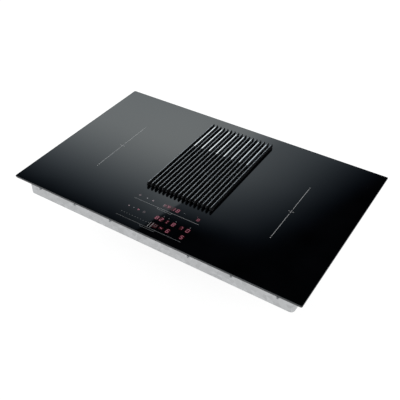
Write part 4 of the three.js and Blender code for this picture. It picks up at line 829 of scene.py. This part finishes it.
def coil(node):
    """A spiral of litz wire on a moulded carrier, with the sensor post in its eye."""
    lo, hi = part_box(node)
    centre = ((lo.x + hi.x) / 2, (lo.y + hi.y) / 2, 0)
    outer, winding, eye, post = (hi.x - lo.x) / 2, 102 * MM, 24 * MM, 12 * MM
    bed, ease, sunk = lo.z + 3.5 * MM, 0.5 * MM, 1 * MM
    mesh = bmesh.new()
    add_turned(mesh, [(0, lo.z), (outer - ease, lo.z), (outer, lo.z + ease), (outer, bed - ease),
                      (outer - ease, bed), (0, bed)], centre, 64)
    add_turned(mesh, [(0, bed - sunk), (post, bed - sunk), (post, hi.z - ease),
                      (post - ease, hi.z), (0, hi.z)], centre)
    turns, steps, corners = 17, 36, 8
    pitch = (winding - eye) / (turns + 1)
    half_wide, half_high = pitch * 0.46, (hi.z - bed) / 2 - 0.1 * MM

    def squared(value):
        """Pushes a sine or cosine outwards, so that the strand is a rounded square."""
        return math.copysign(abs(value) ** 0.6, value)

    strand = [(half_wide * squared(math.cos(turn)), half_high * squared(math.sin(turn)))
              for turn in (math.pi / corners * (1 + 2 * i) for i in range(corners))]
    loops = []
    for step in range(turns * steps + 1):
        angle = 2 * math.pi * step / steps
        radius = eye + pitch * (0.5 + step / steps)
        loops.append([(centre[0] + (radius + out) * math.cos(angle),
                       centre[1] + (radius + out) * math.sin(angle),
                       (bed + hi.z) / 2 + up) for out, up in strand])
    rings = bridged(mesh, loops, mark=lambda band: 1)
    for end in (rings[0], rings[-1]):
        mesh.faces.new(end).material_index = 1
    settle_faces(mesh, 50)
    piece(f"{node}_wound", mesh, "cooktop_body", GREY_PLASTIC, COPPER, slot="coil_copper",
          replaces=[node])


def stator_windings():
    """Copper that shows in the slots of the blower motor."""
    lo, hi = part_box("motor_stator")
    inner, outer, half_wide, slots = 26.6 * MM, 37 * MM, 1.3 * MM, 6
    mesh = bmesh.new()
    for slot in range(slots):
        bundle = bmesh.new()
        add_box(bundle, (inner, -half_wide, lo.z + 10.2 * MM),
                (outer, half_wide, hi.z - 0.3 * MM), 0.5 * MM)
        add_placed(mesh, bundle, Vector((0, SUCTION[1], 0)),
                   Matrix.Rotation(2 * math.pi / slots * slot, 3, "Z"))
    smooth_by_angle(mesh)
    piece("stator_windings", mesh, "cooktop_body", COPPER)


def casing_screws():
    """Screws through the four walls of the casing, half way up."""
    lo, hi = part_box("casing_tray")
    wall_x, wall_y, z = 390 * MM, 240 * MM, (lo.z + hi.z) / 2
    mesh = bmesh.new()
    for side in (-1, 1):
        for x in (-350, -232, -116, 116, 232, 350):
            add_screw(mesh, (x * MM, side * wall_y, z), (0, side, 0))
        for y in (-205, -70, 70, 205):
            add_screw(mesh, (side * wall_x, y * MM, z), (side, 0, 0))
    settle_faces(mesh)
    piece("casing_screws", mesh, "cooktop_body", STEEL_SATIN)


def plenum_screws():
    """Screws from below, round the flange that holds the plenum to the casing."""
    lo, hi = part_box("plenum")
    mesh = bmesh.new()
    flange, inset, radius = hi.z - 2.5 * MM, 4.6 * MM, 2.8 * MM
    middle = (lo.y + hi.y) / 2
    places = [(x, middle + y * MM) for y in (-105, -35, 35, 105)
              for x in (lo.x + inset, hi.x - inset)]
    places += [(x * MM, y) for x in (-80, 0, 80) for y in (lo.y + inset, hi.y - inset)]
    for x, y in places:
        add_screw(mesh, (x, y, flange), (0, 0, -1), radius)
    settle_faces(mesh)
    piece("plenum_screws", mesh, "cooktop_body", BLACKENED)


TONGUE = math.radians(70)
SPIRAL_START = 110.5 * MM  # outside of the scroll wall at the tongue
SPIRAL_END = 152.5 * MM


def spiral(angle, out=0.0):
    """A point on the outside of the scroll's spiral wall."""
    share = (angle - TONGUE) / (2 * math.pi - TONGUE)
    radius = SPIRAL_START + (SPIRAL_END - SPIRAL_START) * share + out
    return radius * math.cos(angle), SUCTION[1] + radius * math.sin(angle)


def scroll_ribs():
    """Upright ribs on the spiral wall, and the folded rims where the two halves meet."""
    mesh = bmesh.new()
    screws, clear = (120, 185, 250, 320), 7  # degrees: the bosses of the scroll's screws
    sunk, proud, half_wide = 2.2 * MM, 1.5 * MM, 0.9 * MM
    for degrees in range(98, 356, 13):
        if min(abs(degrees - screw) for screw in screws) < clear:
            continue
        for z0, z1 in ((2.5 * MM, 44 * MM), (51 * MM, 92.5 * MM)):
            angle = math.radians(degrees)
            rib = bmesh.new()
            add_box(rib, (-sunk, -half_wide, z0), (proud, half_wide, z1), 0.45 * MM)
            add_placed(mesh, rib, Vector((*spiral(angle), 0)), Matrix.Rotation(angle, 3, "Z"))
    steps, start, ease = 90, math.radians(76), 0.4 * MM
    angles = [start + (2 * math.pi - start) * i / steps for i in range(steps + 1)]
    for z0, z1 in ((44.8 * MM, 47.3 * MM), (47.7 * MM, 50.2 * MM)):
        section = [(-sunk, z0), (proud, z0), (proud + ease, z0 + ease), (proud + ease, z1 - ease),
                   (proud, z1), (-sunk, z1)]
        rings = bridged(mesh, [[(*spiral(angle, out), z) for out, z in section]
                               for angle in angles])
        mesh.faces.new(rings[0])
        mesh.faces.new(rings[-1])
    settle_faces(mesh)
    piece("scroll_ribs", mesh, "cooktop_body", BLACK_PLASTIC)


def spigot_bead():
    """The raised bead that a flat duct snaps over."""
    lo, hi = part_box("outlet_spigot")
    centre = ((lo.x + hi.x) / 2, (lo.z + hi.z) / 2)
    width, height, corner, y = 222 * MM, 89 * MM, 6 * MM, hi.y - 13 * MM
    profile = [(-0.4, -2.2), (0.5, -1.8), (1.3, -1.0), (1.6, 0), (1.3, 1.0), (0.5, 1.8),
               (-0.4, 2.2)]  # out and along, in millimetres
    mesh = bmesh.new()
    loops = []
    for out, along in profile:
        grow = 2 * out * MM
        line = rounded_loop(width + grow, height + grow, corner + grow / 2, centre, 5)
        loops.append([(x, y + along * MM, z) for x, z in line])
    bridged(mesh, loops, closed=True)
    settle_faces(mesh, 50)
    piece("spigot_bead", mesh, "cooktop_body", GREY_PLASTIC)


def filter_mesh():
    """Two layers of expanded metal in a folded rim: slit sheet, drawn out into diamonds."""
    lo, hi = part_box("filter_mesh")
    rim, fold, corner = 7.5 * MM, 0.4 * MM, 4.3 * MM
    columns, rows, strand, spare = 13, 44, 0.42 * MM, 1e-6
    mesh = bmesh.new()
    x0, x1, y0, y1 = lo.x + rim, hi.x - rim, lo.y + rim, hi.y - rim
    dx, dy = (x1 - x0) / columns, (y1 - y0) / rows
    layer_half = (hi.z - lo.z) / 4
    half_high = layer_half * 0.9
    for layer, z in ((0, lo.z + layer_half), (1, hi.z - layer_half)):
        for row in range(rows):
            for column in range(columns):
                shift = (row + layer) % 2 * 0.5
                a = Vector((x0 + (column + shift) * dx, y0 + row * dy, z))
                for step in (-0.5, 0.5):
                    b = Vector((a.x + step * dx, a.y + dy, z))
                    if min(a.x, b.x) < x0 - spare or max(a.x, b.x) > x1 + spare:
                        continue
                    side = Vector((-(b - a).y, (b - a).x, 0)).normalized() * strand
                    section = ((side, z - half_high), (-side, z - half_high),
                               (-side, z + half_high), (side, z + half_high))
                    for ring in bridged(mesh, [[(p.x + s.x, p.y + s.y, h) for s, h in section]
                                               for p in (a, b)]):
                        mesh.faces.new(ring)
    centre = ((lo.x + hi.x) / 2, (lo.y + hi.y) / 2)
    wide, deep = hi.x - lo.x, hi.y - lo.y
    loops = []
    for inset, z in ((0, lo.z), (0, hi.z), (rim + fold, hi.z), (rim + fold, lo.z)):
        line = rounded_loop(wide - 2 * inset, deep - 2 * inset, max(corner - inset, 1 * MM),
                            centre)
        loops.append([(x, y, z) for x, y in line])
    bridged(mesh, loops, closed=True)
    settle_faces(mesh)
    piece("expanded_mesh", mesh, "grease_filter", STEEL, slot="stainless_steel",
          replaces=["filter_mesh"])


electrical_faces()
for end in ("front", "rear"):
    for side in HANDS:
        coil(f"induction_coil_{end}_{side}")
stator_windings()
filter_mesh()
casing_screws()
plenum_screws()
scroll_ribs()
spigot_bead()

# ---------------------------------------------------------------- stage and light


def backdrop_material(name, base, own):
    """Pale diffuse paint that the camera, metal and glass see as near white, shadows kept."""
    made = bpy.data.materials.new(name)
    made.use_nodes = True
    tree = made.node_tree
    tree.nodes.clear()
    out = tree.nodes.new("ShaderNodeOutputMaterial")
    path = tree.nodes.new("ShaderNodeLightPath")
    seen = tree.nodes.new("ShaderNodeMath")
    seen.operation = "MAXIMUM"
    tree.links.new(path.outputs["Is Camera Ray"], seen.inputs[0])
    tree.links.new(path.outputs["Is Glossy Ray"], seen.inputs[1])
    paint = tree.nodes.new("ShaderNodeBsdfDiffuse")
    paint.inputs["Color"].default_value = (0.8, 0.8, 0.8, 1)
    soft = tree.nodes.new("ShaderNodeBsdfDiffuse")
    soft.inputs["Color"].default_value = (base, base, base, 1)
    glow = tree.nodes.new("ShaderNodeEmission")
    glow.inputs["Strength"].default_value = own
    both = tree.nodes.new("ShaderNodeAddShader")
    tree.links.new(soft.outputs[0], both.inputs[0])
    tree.links.new(glow.outputs[0], both.inputs[1])
    mix = tree.nodes.new("ShaderNodeMixShader")
    tree.links.new(seen.outputs[0], mix.inputs["Fac"])
    tree.links.new(paint.outputs[0], mix.inputs[1])
    tree.links.new(both.outputs[0], mix.inputs[2])
    tree.links.new(mix.outputs[0], out.inputs["Surface"])
    return made


FLOOR_HALF = 30
FLOOR_DROP = 0.3 * MM  # how far it lies below the blower


def stage():
    """A plain pale floor, just under the blower that the hob stands on."""
    mesh = bmesh.new()
    bmesh.ops.create_grid(mesh, x_segments=1, y_segments=1, size=FLOOR_HALF)
    bmesh.ops.translate(mesh, vec=(0, 0, -FLOOR_DROP), verts=mesh.verts)
    data = bpy.data.meshes.new("floor")
    mesh.to_mesh(data)
    mesh.free()
    data.materials.append(backdrop_material("floor_paint", 0.18, 0.905))
    made = bpy.data.objects.new("floor", data)
    bpy.context.scene.collection.objects.link(made)


stage()


def area_lamp(name, place, target, size, power):
    data = bpy.data.lights.new(name, "AREA")
    data.shape = "RECTANGLE"
    data.size, data.size_y = size
    data.energy = power
    lamp = bpy.data.objects.new(name, data)
    bpy.context.scene.collection.objects.link(lamp)
    lamp.location = place
    lamp.rotation_mode = "QUATERNION"
    lamp.rotation_quaternion = (Vector(target) - Vector(place)).to_track_quat("-Z", "Y")
    lamp.visible_glossy = False  # gloss sees the panels of the world instead


LAMP_TARGET = (0, 0, 0.1)
area_lamp("key_left", (-1.9, -1.2, 2.1), LAMP_TARGET, (1.6, 1.2), 26)
area_lamp("fill_right", (2.2, 0.9, 1.6), LAMP_TARGET, (1.4, 1.4), 16)
area_lamp("rim_back", (-0.6, 2.3, 1.5), LAMP_TARGET, (1.8, 0.9), 14)


class Light:
    """Number nodes for the world, so that its brightness can be written as a sum."""

    def __init__(self, tree):
        self.tree = tree

    def feed(self, socket, value):
        if isinstance(value, (int, float)):
            socket.default_value = value
        else:
            self.tree.links.new(value, socket)

    def math(self, operation, *values):
        node = self.tree.nodes.new("ShaderNodeMath")
        node.operation = operation
        for socket, value in zip(node.inputs, values):
            self.feed(socket, value)
        return node.outputs[0]

    def ease(self, value, start, end, low, high):
        """low up to start, high past end, and a smooth step between them."""
        node = self.tree.nodes.new("ShaderNodeMapRange")
        node.interpolation_type = "SMOOTHSTEP"
        if start > end:
            start, end, low, high = end, start, high, low
        for socket, number in (("From Min", start), ("From Max", end), ("To Min", low),
                               ("To Max", high)):
            node.inputs[socket].default_value = number
        self.feed(node.inputs["Value"], value)
        return node.outputs["Result"]


PANEL_GLOW = 2.05
EDGE_SLOPE = 0.24  # across, for each metre along
EDGE_PLACE = 0.908  # how far to the left the edge starts


def panel_glow(light, across, along):
    """A soft panel that hangs behind and to the left of the hob, cut off along one straight
    edge, past which only its spill is left. Across and along say where a ray meets a ceiling
    one metre up."""
    depth = light.math("MULTIPLY", light.ease(along, 0.795, 1.185, 0, 1),
                       light.ease(along, 1.15, 1.9, 1, 0.3))
    offset = light.math("ADD", light.math("MULTIPLY_ADD", along, -EDGE_SLOPE, across), EDGE_PLACE)
    softness = light.math("MAXIMUM", light.math("MULTIPLY_ADD", along, 0.35, -0.34), 0.006)
    panel = light.ease(light.math("DIVIDE", offset, softness), -1, 0.15, 1, 0)
    spill = light.math("MULTIPLY", light.ease(offset, -0.03, 0.31, 0.46, 0),
                       light.ease(along, 0.88, 0.985, 0.05, 1))
    rise = light.math("MULTIPLY", light.ease(offset, -0.12, 0, 0, 0.3),
                      light.ease(along, 0.97, 1.08, 1, 0))
    above_spill = light.math("SUBTRACT", light.math("ADD", rise, 1), spill)
    both = light.math("ADD", light.math("MULTIPLY", panel, above_spill), spill)
    side = light.ease(across, -1.15, -0.8, 0.86, 1)
    return light.math("MULTIPLY", light.math("MULTIPLY", both, depth), side)


def studio_world():
    """Even light all round for paint and plastic. Gloss sees soft panels in a dark room."""
    world = bpy.data.worlds.new("studio")
    bpy.context.scene.world = world
    world.use_nodes = True
    tree = world.node_tree
    tree.nodes.clear()
    light = Light(tree)
    split = tree.nodes.new("ShaderNodeSeparateXYZ")
    tree.links.new(tree.nodes.new("ShaderNodeTexCoord").outputs["Generated"], split.inputs[0])
    height = light.math("MAXIMUM", split.outputs["Z"], 0.04)
    across = light.math("DIVIDE", split.outputs["X"], height)
    along = light.math("DIVIDE", split.outputs["Y"], height)
    glow = light.math("MULTIPLY", panel_glow(light, across, along), PANEL_GLOW)
    steep = light.math("MAXIMUM", light.math("ABSOLUTE", across), light.math("ABSOLUTE", along))
    # in front, to the right, to the left and straight above
    for place, start, end, level in ((along, -0.3, -2.0, 0.6), (across, 0.35, 2.2, 0.45),
                                     (across, -1.6, -3.2, 0.5), (steep, 0.66, 0.3, 0.3)):
        glow = light.math("ADD", glow, light.ease(place, start, end, 0, level))

    def background(strength):
        node = tree.nodes.new("ShaderNodeBackground")
        node.inputs["Color"].default_value = (1, 1, 1, 1)
        light.feed(node.inputs["Strength"], strength)
        return node.outputs[0]

    def cool_background(strength):
        """Nearly neutral where it is bright, and bluer the dimmer it is, as in the photograph."""
        colour = tree.nodes.new("ShaderNodeCombineColor")
        red = light.math("MULTIPLY", light.math("POWER", strength, 1.064), 0.889)
        blue = light.math("MULTIPLY", light.math("POWER", strength, 0.924), 1.07)
        for socket, value in zip(("Red", "Green", "Blue"), (red, strength, blue)):
            tree.links.new(value, colour.inputs[socket])
        node = tree.nodes.new("ShaderNodeBackground")
        tree.links.new(colour.outputs["Color"], node.inputs["Color"])
        return node.outputs[0]

    def choose(ray, otherwise, then):
        node = tree.nodes.new("ShaderNodeMixShader")
        tree.links.new(path.outputs[ray], node.inputs["Fac"])
        tree.links.new(otherwise, node.inputs[1])
        tree.links.new(then, node.inputs[2])
        return node.outputs[0]

    path = tree.nodes.new("ShaderNodeLightPath")
    seen = choose("Is Glossy Ray", background(0.55), cool_background(glow))
    out = tree.nodes.new("ShaderNodeOutputWorld")
    tree.links.new(choose("Is Camera Ray", seen, background(1.0)), out.inputs["Surface"])


studio_world()
